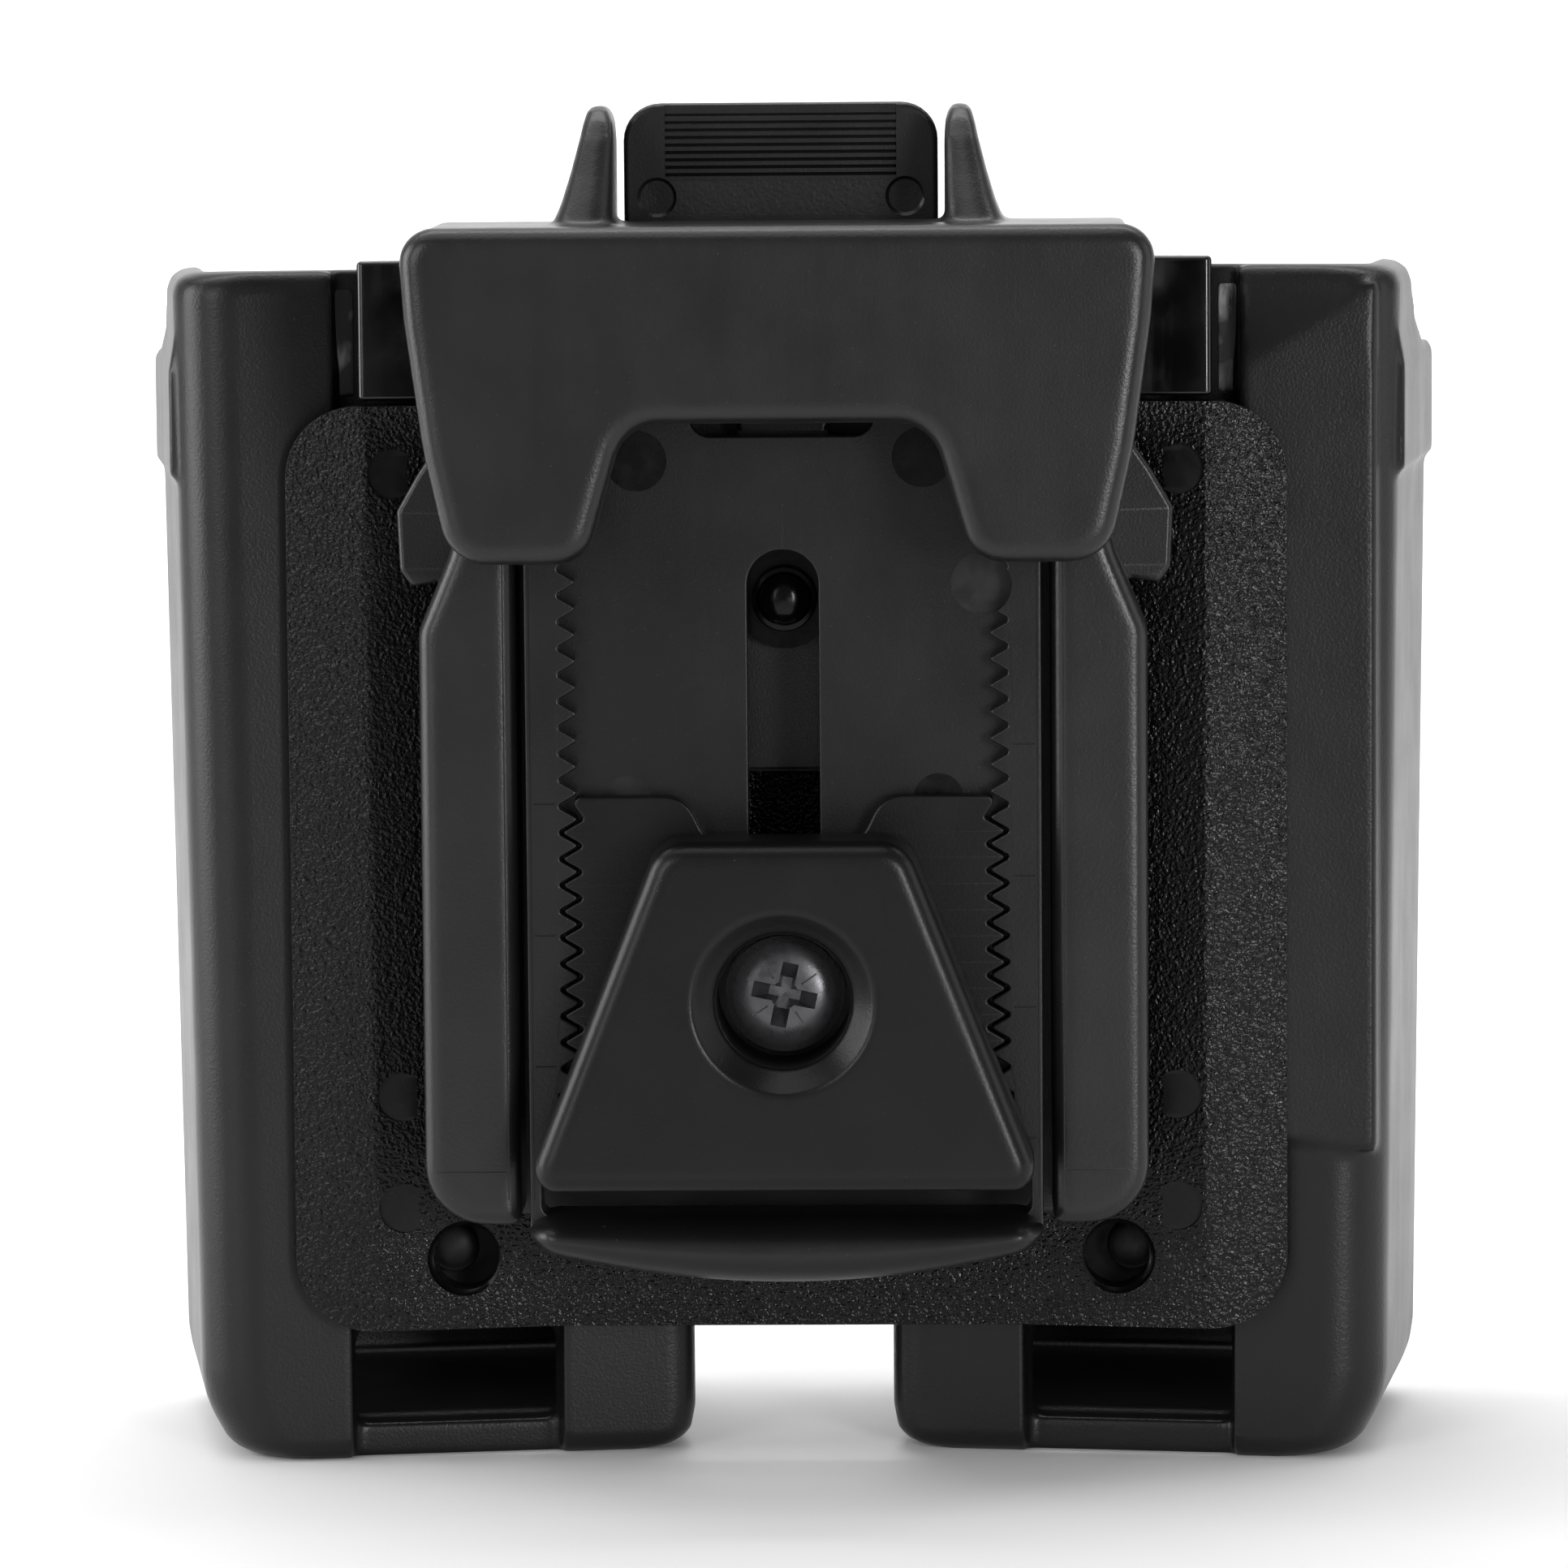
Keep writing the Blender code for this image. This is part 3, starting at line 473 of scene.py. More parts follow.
def gloss_plastic():
    """The carrier's polished black, with smudges and fine rub marks."""
    made = Nodes("gloss_plastic", (0.003, 0.003, 0.003), 0.2)
    smudge = made.noise(4.0, detail=5.0)
    rubs = made.noise(1.2, detail=4.0, stretch=(1.0, 1.0, 0.12))
    rough = made.remap(smudge, 0.35, 0.7, 0.10, 0.30)
    made.use("Roughness", made.maths("ADD", rough, made.remap(rubs, 0.55, 0.75, 0.0, 0.16)))
    made.use("Normal", made.bump(rubs, 0.01, 0.5))
    return made.material


def scuffed_plastic():
    """The channels' rubbed floors: dark gloss broken by pale streaks."""
    dark, pale = (0.006,) * 3, (0.30,) * 3
    made = Nodes("scuffed_plastic", dark, 0.3)
    streaks = made.noise(1.3, detail=6.0, roughness=0.62, stretch=(1.0, 1.0, 0.2))
    patches = made.noise(5.0, detail=2.0)
    scuff = made.maths("MULTIPLY", made.remap(streaks, 0.46, 0.60), made.remap(patches, 0.42, 0.55))
    made.use("Base Color", made.tint(scuff, dark, pale))
    made.use("Roughness", made.remap(scuff, 0.0, 1.0, 0.26, 0.55))
    made.use("Normal", made.bump(streaks, 0.02, 0.6))
    return made.material


def black_oxide(name, roughness, colour, metallic=0.85, brushed=None):
    """Blackened steel, oiled and a little mottled."""
    made = Nodes(name, (colour, colour, colour * 1.06), roughness, metallic=metallic)
    mottle = made.noise(0.8, detail=4.0)
    made.use("Roughness", made.remap(mottle, 0.3, 0.7, roughness - 0.07, roughness + 0.10))
    grain = made.noise(0.15, detail=3.0, stretch=brushed)
    made.use("Normal", made.bump(grain, 0.008, 0.7))
    return made.material


POUCH_BLACK = moulded_plastic("pouch_plastic", (0.0065, 0.0065, 0.0067), 0.34, 0.22, 0.026, 0.3)
CLIP_BLACK = moulded_plastic("clip_plastic", (0.0085, 0.0085, 0.0087), 0.33, 0.2, 0.02, 0.4)
PANEL_BLACK = moulded_plastic("panel_plastic", (0.0055, 0.0055, 0.0057), 0.33, 0.2, 0.018, 0.36)
# The jaw's plastic is given a darker colour and less shine than the clip's: painted shade for the jaw's front
# face, which is tilted away from the lamps.
JAW_SHADED_BLACK = moulded_plastic("jaw_plastic_shaded", (0.004, 0.004, 0.0041), 0.33, 0.2, 0.014, 0.26)
PLATE_BLACK = textured_plastic("spark_texture", 0.34, 0.10, 0.0015, 0.17)
STIPPLED_BLACK = textured_plastic("stippled_plastic", 0.3, 0.03, 0.016, 0.42)
MARK_BLACK = smooth_plastic("smooth_plastic")
# A lighter, shinier copy of the ejector marks' plastic: partly a rubbed patch, partly a painted sheen on a
# mark that caught more light than its twin.
RUBBED_AND_SHEEN_BLACK = smooth_plastic("rubbed_and_sheen_plastic", colour=0.0075, roughness=0.34, specular=0.38)
GLOSS_BLACK = gloss_plastic()
SCUFFED_BLACK = scuffed_plastic()
STEEL_BLACK = black_oxide("black_oxide_steel", 0.34, colour=0.09, metallic=0.6)
SCREW_BLACK = black_oxide("screw_steel", 0.28, colour=0.1, metallic=0.75)
RIVET_BLACK = black_oxide("rivet_steel", 0.16, colour=0.012)
LEAF_BLACK = black_oxide("blackened_leaf", 0.42, colour=0.012, metallic=0.5)
SPRING_STEEL = black_oxide("blued_spring_steel", 0.32, colour=0.05, brushed=(1.0, 1.0, 0.05))


# ---------------- pouches


def wing_depth(x, at_facet):
    """Depth of a plane that is parallel to a pouch's back, at_facet deep where the wings begin."""
    return at_facet - (abs(x) - FACET_X) * tan(radians(YAW))


def pouch_place(side):
    """Places a pouch's own axes, not mirrored: the origin is on its back, on its channel's centre line."""
    depth = wing_depth(POUCH_MID_X, POUCH_BACK)
    turn = Matrix.Rotation(radians(-side * YAW), 4, "Z")
    return Matrix.Translation((side * POUCH_MID_X * MM, depth * MM, 0)) @ turn


def in_pouch(obj, side):
    """Moves a shape that is drawn in a right-hand pouch's axes to its pouch."""
    obj.data.transform(pouch_place(side) @ Matrix.Diagonal((side, 1, 1, 1)))
    if side < 0:
        obj.data.flip_normals()
    return obj


def pouch_ring(z, inset, outer_drop, inner_drop=0.0):
    """One level of a pouch's outside: inset draws every side in, and the drops draw in one side each."""
    outer = POUCH_OUTER + (z - POUCH_TOP / 2) * POUCH_DRAFT - inset - outer_drop
    inner, far = inset + inner_drop - POUCH_INNER, POUCH_DEPTH - inset
    corners = [(outer, inset, 4.6), (outer, far, 5.5), (inner, far, 5.5), (inner, inset, 2.2)]
    return [(x, y, z) for x, y in outline(corners, 10)]


def pouch_outside(name):
    """A pouch's solid outside, with a rounded foot and rim."""
    foot_rounds = [  # height, inset, and the drops of the outer and the inner side
        (0.0, 1.1, 3.3, 2.0),
        (0.35, 0.55, 2.8, 1.2),
        (0.9, 0.15, 2.25, 0.75),
        (1.6, 0.0, 1.75, 0.34),
        (3.4, 0.0, 0.8, 0.0),
        (4.8, 0.0, 0.28, 0.0),
        (6.6, 0.0, 0.0, 0.0),
    ]
    rings = [pouch_ring(*level) for level in foot_rounds]
    rim, step_in, steps = 1.3, 0.14, 6
    rings.append(pouch_ring(POUCH_TOP - rim - 0.25, 0.0, 0.0))
    rings.append(pouch_ring(POUCH_TOP - rim - 0.15, step_in, 0.0))
    for i in range(steps + 1):
        angle = pi / 2 * i / steps
        fall = 1 - cos(angle)
        rings.append(pouch_ring(POUCH_TOP - rim + rim * sin(angle), step_in + rim * fall * 0.8, 1.2 * fall))
    return loft(name, rings)


def pouch_pad(name):
    """The raised pad of the right pouch, which slopes away from the channel to the outer side."""
    inner, outer, buried, proud = 8.9, 19.4, 2.0, 1.45
    low, shoulder, high = 24.4, POUCH_TOP - 8, POUCH_TOP - 1.4
    levels = [  # height and depth at the inner end, then at the outer end
        (low, 0.0, low, 0.1),
        (low + 1.9, -proud, low + 0.25, 0.05),
        (shoulder, -proud, shoulder, 0.05),
        (high, -0.05, high, 0.3),
    ]
    rings = []
    for z0, y0, z1, y1 in levels:
        rings.append([(inner, buried, z0), (inner, y0, z0), (outer, y1, z1), (outer, buried, z1)])
    return loft(name, rings)


def pouch_band(name):
    """The band round the outer side of a pouch's mouth."""
    buried, face, low, high = POUCH_OUTER - 2, POUCH_OUTER + 0.95, 77.0, 91.6
    corners = [(buried, low), (face, low, 0.4), (face, 85.0, 2.0), (POUCH_OUTER - 0.1, high), (buried, high)]
    return front_plate(name, [outline(corners)], 3.6, POUCH_DEPTH - 4.6)


def pouch_cutters(name):
    """The cavity, the low front wall, the channel down the back, and the leaf's slot with its wider foot."""
    beyond = 5  # how far a cutter reaches past the wall that it opens
    inner, outer, front = SIDE_WALL - POUCH_INNER, POUCH_OUTER - SIDE_WALL, POUCH_DEPTH - SIDE_WALL
    cavity = [(outer, BACK_WALL, 1.5), (outer, front, 3.5), (inner, front, 3.5), (inner, BACK_WALL, 1.5)]
    front_corners = [(14, 100), (14, 91, 2.0), (22, POUCH_FRONT_TOP, 4), (40, POUCH_FRONT_TOP), (40, 100)]
    low, top, above = CHANNEL_HALF_LOW, CHANNEL_HALF_TOP, POUCH_TOP + beyond
    channel = [(-low, -beyond), (low, -beyond), (top, above), (-top, above)]
    cutters = [
        plan_plate(name + "_cavity", [outline(cavity)], FLOOR, above),
        side_plate(name + "_front", [outline(front_corners)], -POUCH_INNER - beyond, POUCH_OUTER + beyond),
        front_plate(name + "_channel", [channel], -beyond, CHANNEL_DEEP),
    ]
    openings = (
        ("_slot", WINDOW_HALF, WINDOW_LOW + 2, WINDOW_TOP, 2),
        ("_mouth", MOUTH_HALF, WINDOW_LOW, MOUTH_TOP, 1.6),
    )
    for word, half, low, top, radius in openings:
        corners = [(-half, low), (half, low), (half, top, radius), (-half, top, radius)]
        cutters.append(front_plate(name + word, [outline(corners)], -beyond, BACK_WALL + 1))
    return cutters


def pouch(side):
    """A rigid open-topped pouch."""
    name = SIDES[side] + "_pouch_skin"
    body = pouch_outside(name)
    joined = [pouch_pad(name + "_pad")] if side > 0 else []
    joined.append(pouch_band(name + "_band"))
    combine(body, joined, pouch_cutters(name))
    skin(body, 0.4, 3, keep=0.45)
    in_pouch(body, side)
    body.data.shade_smooth()
    finish_piece(body, "holder", SIDES[side] + "_pouch", POUCH_BLACK)


def channel_lining(side):
    """The rubbed strip of the channel's floor beside the carrier."""
    low, high, middle = 83.2, POUCH_TOP - 1.5, 7.75
    face = CHANNEL_DEEP - 0.16
    loop = outline(slot_corners(0.72, low, high, 0.3))
    strip = front_plate(SIDES[side] + "_channel_lining", [loop], face, face + 0.3, 0.05, 1)
    strip.data.transform(Matrix.Translation((middle * MM, 0, 0)))
    shade(strip)
    in_pouch(strip, side)
    finish_piece(strip, "holder", None, SCUFFED_BLACK)


def retention_leaf(side):
    """A thin spring, held at its top, that bows into the pouch and has a round button at its foot."""
    base, thick, half_width, radius = CHANNEL_DEEP + 0.3, 0.7, 5.2, 1.95
    path = [
        (base - 1.2, 70.0),
        (base - 1.2, 60.0, 6),
        (base + 0.6, 52.0, 10),
        (base + 2.0, 30.0, 20),
        (base + 2.3, 22.0, 10),
        (base + 1.6, 15.0, 6),
        (base + 0.4, 11.2),
    ]
    front = rounded_profile(path, 6)
    back = [(depth + thick, z) for depth, z in reversed(front)]
    word = SIDES[side]
    leaf = side_plate(word + "_retention_leaf_skin", [front + back], -half_width, half_width, 0.12, 1)
    crown, edge, buried = base - 0.4, base - 0.1, base + 2.4
    button = [(0, crown), (1.2, base - 0.36), (radius, edge, 0.4), (radius, buried), (0, buried)]
    combine(leaf, [turned("button", rounded_profile(button), 0, ACCESS_Z)])
    shade(leaf)
    in_pouch(leaf, side)
    finish_piece(leaf, word + "_leaf", word + "_retention_leaf", LEAF_BLACK)


# ---------------- plate, carrier and fixings


def finished(cutter, index):
    """Makes the faces that a cutter leaves take that material of the piece it cuts."""
    cutter.data.polygons.foreach_set("material_index", [index] * len(cutter.data.polygons))
    return cutter


def ejector_mark(x, z, radius, face, index=1, sunk=0.07):
    """A cutter for the shallow round mark of an ejector pin."""
    return finished(front_plate("mark", [circle(x, z, radius)], face - 3, face + sunk), index)


def plate_screw_holes(side):
    """Cutters for the screws that hold the plate and the carrier to one pouch."""
    holes = [rod("screw_hole", 1.25, -12, 6, -PLATE_SCREW_IN, z, 32) for z in PLATE_SCREW_Z]
    return [in_pouch(hole, side) for hole in holes]


def cross_recess(x, z, reach, half_width, near, far):
    """Cutters for the cross in a screw's head."""
    arms = ((reach, half_width), (half_width, reach))
    return [block("cross", (x - across, x + across), (near, far), (z - up, z + up)) for across, up in arms]


def access_hole(side):
    """A cutter for the flared hole over a retention leaf's button."""
    face = wing_depth(ACCESS_X, PLATE_FACE)
    radius, flared = 2.5, 2.95
    profile = [(0, -20), (flared, -20), (flared, face), (flared - 0.1, face + 0.22)]
    profile += [(radius + 0.05, face + 0.5), (radius, face + 1), (radius, 10), (0, 10)]
    return turned("access_hole", profile, side * ACCESS_X, ACCESS_Z)


def base_plate():
    """The five-facet plate, rounded at its rim, with the pivot's boss and the ejector pins' marks."""
    rim_back, wing_end = -6.85, 34.4
    half = [
        (0, PLATE_FACE),
        (FACET_X, PLATE_FACE),
        (CREST_X, CREST_FACE),
        (PLATE_HALF, EDGE_FACE),
        (PLATE_HALF, rim_back),
        (34.7, rim_back),
        (wing_end, wing_depth(wing_end, PLATE_BACK)),
        (FACET_X, PLATE_BACK),
        (0, PLATE_BACK),
    ]
    low, high = PLATE_LOW.z, PLATE_HIGH.z
    body = plan_plate("base_plate_skin", [mirrored(half)], low, high)
    corners = mirrored([(0, low), (PLATE_HALF, low, 5.6), (PLATE_HALF, high, 5.6), (0, high)])
    shape = front_plate("plate_shape", [outline(corners, 12)], -20, 10)
    boolean(body, shape, "INTERSECT")
    apply_modifiers(body)
    bpy.data.objects.remove(shape)
    soften(body, 0.8, 4, 60)
    radius, face, buried = 4.6, -8.5, PLATE_FACE + 1
    profile = rounded_profile([(0, face), (radius, face, 0.3), (radius, buried), (0, buried)])
    boss = turned("pivot_boss", profile, 0, PIVOT_Z)
    holes = [rod("pivot_bore", PIVOT_BORE, -20, 10, 0, PIVOT_Z)]
    for side in SIDES:
        holes += [access_hole(side), *plate_screw_holes(side)]
    combine(body, [boss], holes)
    marks = []
    for side in SIDES:
        for x, z in ((30.2, 77.5), (30.05, 29.1), (30.0, 20.4)):
            marks.append(ejector_mark(side * x, z, 1.9, wing_depth(x, PLATE_FACE)))
    coat(body, PLATE_BLACK, MARK_BLACK)
    for polygon in body.data.polygons:  # only the facets in front are textured
        if polygon.normal.y > -0.95 or abs(polygon.normal.z) > 0.02:
            polygon.material_index = 1
    combine(body, [], marks)
    shade(body, 30)
    finish_piece(body, "holder", "base_plate")


def carrier():
    """The glossy cross piece, with a leg down each channel."""
    face, rear, reach = -5.6, POUCH_BACK - 0.35, CARRIER_HIGH.x
    low, top = PLATE_HIGH.z + 0.4, CARRIER_HIGH.z
    half = [(0, face), (FACET_X, face, 3), (reach, wing_depth(reach, face), 0.5)]
    half += [(reach, wing_depth(reach, rear)), (FACET_X, rear), (0, rear)]
    body = plan_plate("carrier_skin", [both_sides(half)], low, top, 0.35, 3)
    pieces, holes = [], []
    for side in SIDES:
        pieces.append(in_pouch(block("key", (-7.6, 6.4), (-1.2, CHANNEL_DEEP - 0.3), (low, top - 0.2)), side))
        pieces.append(in_pouch(block("leg", (-7.3, 6.1), (-0.05, 0.75), (28.0, low + 3)), side))
        holes += plate_screw_holes(side)
    combine(body, pieces, holes)
    shade(body)
    finish_piece(body, "holder", "carrier", GLOSS_BLACK)


def plate_screw(node, side, z):
    """A low round-headed screw through a wing of the base plate."""
    seat = PLATE_FACE - POUCH_BACK - 0.2
    head, shank = 2.75, 1.0
    profile = [(0, seat - 1.0), (1.3, seat - 0.95, 1.5), (head, seat - 0.25, 0.5), (head, seat)]
    profile += [(shank, seat), (shank, seat + 4.0), (0, seat + 4.3)]
    x = -side * PLATE_SCREW_IN
    screw = turned(node + "_skin", rounded_profile(profile), x, z, 48)
    combine(screw, [], cross_recess(x, z, 1.5, 0.3, seat - 2, seat - 0.45))
    screw.data.transform(pouch_place(side))
    shade(screw)
    finish_piece(screw, "holder", node, STEEL_BLACK)


def pivot_rivet():
    """The swivel's axle: a shiny dome on a stepped ring, seen through the tongue's slot."""
    axle, ring, foot = 2.0, 2.5, 3.6
    profile = [
        (0, -14.2),
        (1.3, -14.0, 2.2),
        (1.95, -13.35, 0.5),
        (axle, -12.85, 0.1),
        (ring, -12.8, 0.15),
        (ring, -12.0),
        (axle, -12.0),
        (axle, -1.9),
        (foot, -1.9),
        (foot, -0.9, 0.3),
        (0, -0.6),
    ]
    rivet = turned("pivot_rivet_skin", rounded_profile(profile, 8), 0, PIVOT_Z, 72)
    shade(rivet, 45)
    finish_piece(rivet, "holder", "pivot_rivet", RIVET_BLACK)


# ---------------- clip


def horn(side):
    """A tapering fin beside the thumb tab: a stack of rounded slices from base to tip."""
    levels = [  # height, inner and outer width, front and back depth
        (95.0, 12.4, 17.6, -26.4, -11.2),
        (96.6, 12.4, 17.0, -25.2, -11.2),
        (98.6, 12.4, 16.2, -23.8, -11.2),
        (100.8, 12.4, 15.55, -22.2, -11.4),
        (103.2, 12.4, 14.95, -20.6, -11.8),
        (104.6, 12.5, 14.65, -19.4, -12.2),
        (105.35, 12.75, 14.4, -18.4, -13.0),
        (105.7, 13.15, 14.0, -17.4, -14.2),
    ]
    rings = []
    for z, x0, x1, y0, y1 in levels:
        round_by = min(x1 - x0, y1 - y0) * 0.46
        corners = [(x0, y0, round_by), (x1, y0, round_by), (x1, y1, round_by), (x0, y1, round_by)]
        rings.append([(side * x, y, z) for x, y in outline(corners, 5)])
    return loft("horn", rings)


def clip_frame():
    """Hood, bridge over the belt, horns and side rails, in one soft-edged moulding."""
    hood_half = [(0, 97.0), (28.1, 97.0, 2.6), (27.6, 90.0, 12), (26.3, 80.5, 20), (24.4, 72.0, 3.6)]
    hood_half += [(14.3, 72.0, 3.0), (11.3, 82.4, 3.4), (0, 82.4)]
    hood_back = HOOD_FACE + HOOD_WALL
    body = front_plate("clip_frame_skin", [both_sides(hood_half, 10)], HOOD_FACE, hood_back, 1.5, 6)
    near, far, half_width = HOOD_FACE + 1, -14.2, 26.0
    low, step, high = 90.3, 93.5, 97.0
    bridge = [(near, high, 0.6), (near, step), (STRIP_FACE, step), (STRIP_FACE, low)]
    bridge += [(far, low), (far, high, 0.8)]
    solids = [side_plate("bridge", [outline(bridge)], -half_width, half_width, 0.5, 2)]
    rail = [(RAIL_INNER, 20.9, 0.8), (RAIL_OUTER, 20.9, 4.6), (RAIL_OUTER, 66.3, 2.0), (25.2, 71.9, 2.0)]
    rail += [(24.0, 76.0, 3.0), (24.0, 96.0), (RAIL_INNER, 96.0)]
    for side in SIDES:
        loop = [(side * x, z) for x, z in outline(rail)]
        solids.append(front_plate("rail", [loop], RAIL_FACE, RAIL_BACK, 1.3, 5))
        solids.append(horn(side))
    holes = [rod("screw_hole", 1.0, RAIL_BACK - 4.5, 0, x, z, 24) for x, z in BACK_SCREWS]
    combine(body, solids, holes)
    skin(body, 0.3, 5, keep=0.6)
    before = RAIL_FACE - 1
    seams = []
    for side in SIDES:
        upright = on_side(side, RAIL_INNER + 0.85, RAIL_INNER + 0.97)
        seams.append(block("upright_seam", upright, (before, RAIL_FACE + 0.12), (23.0, 72.0)))
        seams.append(block("level_seam", on_side(side, 19.5, 28.5), (before, RAIL_FACE + 0.1), (25.1, 25.2)))
    combine(body, [], seams)
    shade(body, 50)
    finish_piece(body, "clip", "clip_frame", CLIP_BLACK)


def pin_bore():
    """A cutter for the lever's pin, right across."""
    return side_plate("pin_bore", [circle(PIN_Y, PIN_Z, 0.95, 32)], -20, 20)


def back_plate():
    """The plate behind the rails, with side ears, lugs for the lever's pin and a window for the nut."""
    ear = [(26.6, 79.8, 1.0), (28.1, 77.6, 0.8), (29.7, 74.8, 0.8), (29.5, 70.2, 0.9), (28.6, 69.0, 0.6)]
    half = [(0, 92.0), (25.5, 92.0, 2.0), *ear, (26.0, 69.4, 0.6), (26.0, 20.3, 3.6), (0, 20.3)]
    near, far = -10.6, BACK_REAR
    window = outline(slot_corners(15.8, 28.2, 54.6, 2))
    slot = outline(slot_corners(1.5, 73.6, 78.4, 0.4))
    loops = [both_sides(half), window, slot, circle(0, PIVOT_Z, PIVOT_BORE)]
    body = front_plate("back_plate_skin", loops, near, far, 0.45, 4)
    low, high, face, buried = PIN_Z - 2.2, PIN_Z + 2.2, PIN_Y - 1.7, -9.6
    lug = outline([(buried, low), (buried, high), (face, high, 1.6), (face, low, 1.6)])
    lugs = [side_plate("lug", [lug], *on_side(side, 12.6, 15.0)) for side in SIDES]
    before, behind = near - 1, far + 0.5
    seat = [(0, before), (1.15, before), (1.15, far - 1.35), (2.25, far - 0.05), (2.65, behind), (0, behind)]
    seats = [turned("screw_seat", seat, x, z, 32) for x, z in BACK_SCREWS]
    combine(body, lugs, [pin_bore(), *seats])
    shade(body)
    finish_piece(body, "clip", "back_plate", CLIP_BLACK)


def back_screw(node, x, z):
    """A small countersunk screw from behind, with a cross recess."""
    far, shank, head = BACK_REAR - 0.15, 0.75, 1.95
    profile = [(0, RAIL_BACK - 4.0), (shank, RAIL_BACK - 3.6), (shank, far - 1.3)]
    profile += [(head, far - 0.1), (head, far), (0, far)]
    screw = turned(node + "_skin", profile, x, z, 40)
    combine(screw, [], cross_recess(x, z, 1.1, 0.25, far - 0.6, far + 1))
    shade(screw)
    finish_piece(screw, "clip", node, STEEL_BLACK)


def tab_details(near):
    """Cutters for the thumb tab's face: a stippled band, two dimples and a sunk field of level grooves."""
    before, field = near - 1, (-8.75, 8.75)
    details = [finished(block("band", field, (before, near + 0.04), (97.3, 99.95)), 1)]
    dimple = [(0, near - 2), (1.5, near - 2), (1.5, near + 0.3), (1.25, near + 0.5), (0, near + 0.55)]
    details += [turned("dimple", dimple, side * 9.4, 98.7) for side in SIDES]
    lowest, pitch, count, half_width = 100.4, 0.56, 9, 0.13
    seat = near + 0.12
    details.append(block("ridge_seat", field, (before, seat), (100.0, 108)))
    for i in range(count):
        z = lowest + i * pitch
        low, high, mouth = z - half_width, z + half_width, seat + 0.04
        floor = seat + 0.26 - 0.015 * i
        groove = [(before, low), (mouth, low), (floor, z), (mouth, high), (before, high)]
        details.append(side_plate("groove", [groove], *field))
    return details


def release_lever():
    """The grooved thumb tab, its barrel on the pin, and the arm whose nib drops into the ring."""
    near, far = -13.6, -11.8
    arm = [(0, 74.6), (3.4, 74.6, 1.0), (3.4, 82.0, 1.5), (10.6, 84.6, 1.0), (10.6, 94.0, 1.0)]
    half = [*arm, (11.9, 95.5, 1.0), (11.9, LEVER_TOP, 2.8), (0, LEVER_TOP)]
    body = front_plate("release_lever_skin", [both_sides(half)], near, far, 0.45, 4)
    barrel = side_plate("barrel", [circle(PIN_Y, PIN_Z, 1.75, 40)], -12.2, 12.2)
    nib = block("nib", (-0.95, 0.95), (near + 0.3, -6.6), (75.2, 77.2))
    holes = [
        block("coil_room", (-3.2, 3.2), (-16, -10.7), (PIN_Z - 2.4, PIN_Z + 2.4)),
        block("thin_arm", (-5, 5), (-16, -12.9), (70, 81)),
        pin_bore(),
    ]
    combine(body, [barrel, nib], holes)
    coat(body, CLIP_BLACK, STIPPLED_BLACK)
    combine(body, [], tab_details(near))
    shade(body)
    finish_piece(body, "lever", "release_lever")


def lever_spring():
    """A torsion spring wound round the pin, with its legs on the lever and on the back plate."""
    turns, per_turn, half_width, coil, wire = 5, 32, 2.2, 1.3, 0.25
    route = [(half_width, PIN_Y + coil, PIN_Z - 4.2)]
    for i in range(turns * per_turn + 1):
        angle = 2 * pi * i / per_turn
        x = half_width - 2 * half_width * i / (turns * per_turn)
        route.append((x, PIN_Y + coil * cos(angle), PIN_Z + coil * sin(angle)))
    route.append((-half_width, PIN_Y + 1.75, PIN_Z + 3.2))
    curve = bpy.data.curves.new("lever_spring_skin", "CURVE")
    curve.dimensions = "3D"
    curve.bevel_depth = wire * MM
    curve.bevel_resolution = 4
    curve.use_fill_caps = True
    spline = curve.splines.new("POLY")
    spline.points.add(len(route) - 1)
    for point, place in zip(spline.points, route):
        point.co = (*(Vector(place) * MM), 1)
    obj = placed("lever_spring_skin", curve)
    finish_piece(obj, "clip", "lever_spring", SPRING_STEEL)


# ---------------- tongue and jaw


def finger_lip(half_width):
    """The round-fronted bar under the jaw that a finger pulls: its lower edge curves up to its ends."""
    top, bottom, sag, round_by = 21.9, 16.6, 2.7, 2.2
    slices, sides = 32, 24
    rings = []
    for i in range(-slices, slices + 1):
        x = half_width * sin(pi / 2 * i / slices)
        low = bottom + sag * (x / half_width) ** 2
        near_end = max(0.0, 1 - (half_width - abs(x)) / round_by)
        swell = max(0.06, sqrt(1 - near_end**2))
        middle, half_height = (top + low) / 2, (top - low) / 2 * swell
        depth = (LIP_BACK - TONGUE_LOW.y) * (0.25 + 0.75 * swell)
        bow = [pi * (step / sides - 0.5) for step in range(sides + 1)]
        ring = [(x, LIP_BACK - depth * cos(a) ** 0.8, middle + half_height * sin(a)) for a in bow[1:-1]]
        ring += [(x, LIP_BACK, middle + half_height), (x, TONGUE_BACK, middle + half_height)]
        ring += [(x, TONGUE_BACK, middle - half_height), (x, LIP_BACK, middle - half_height)]
        rings.append(ring)
    return loft("lip", rings)


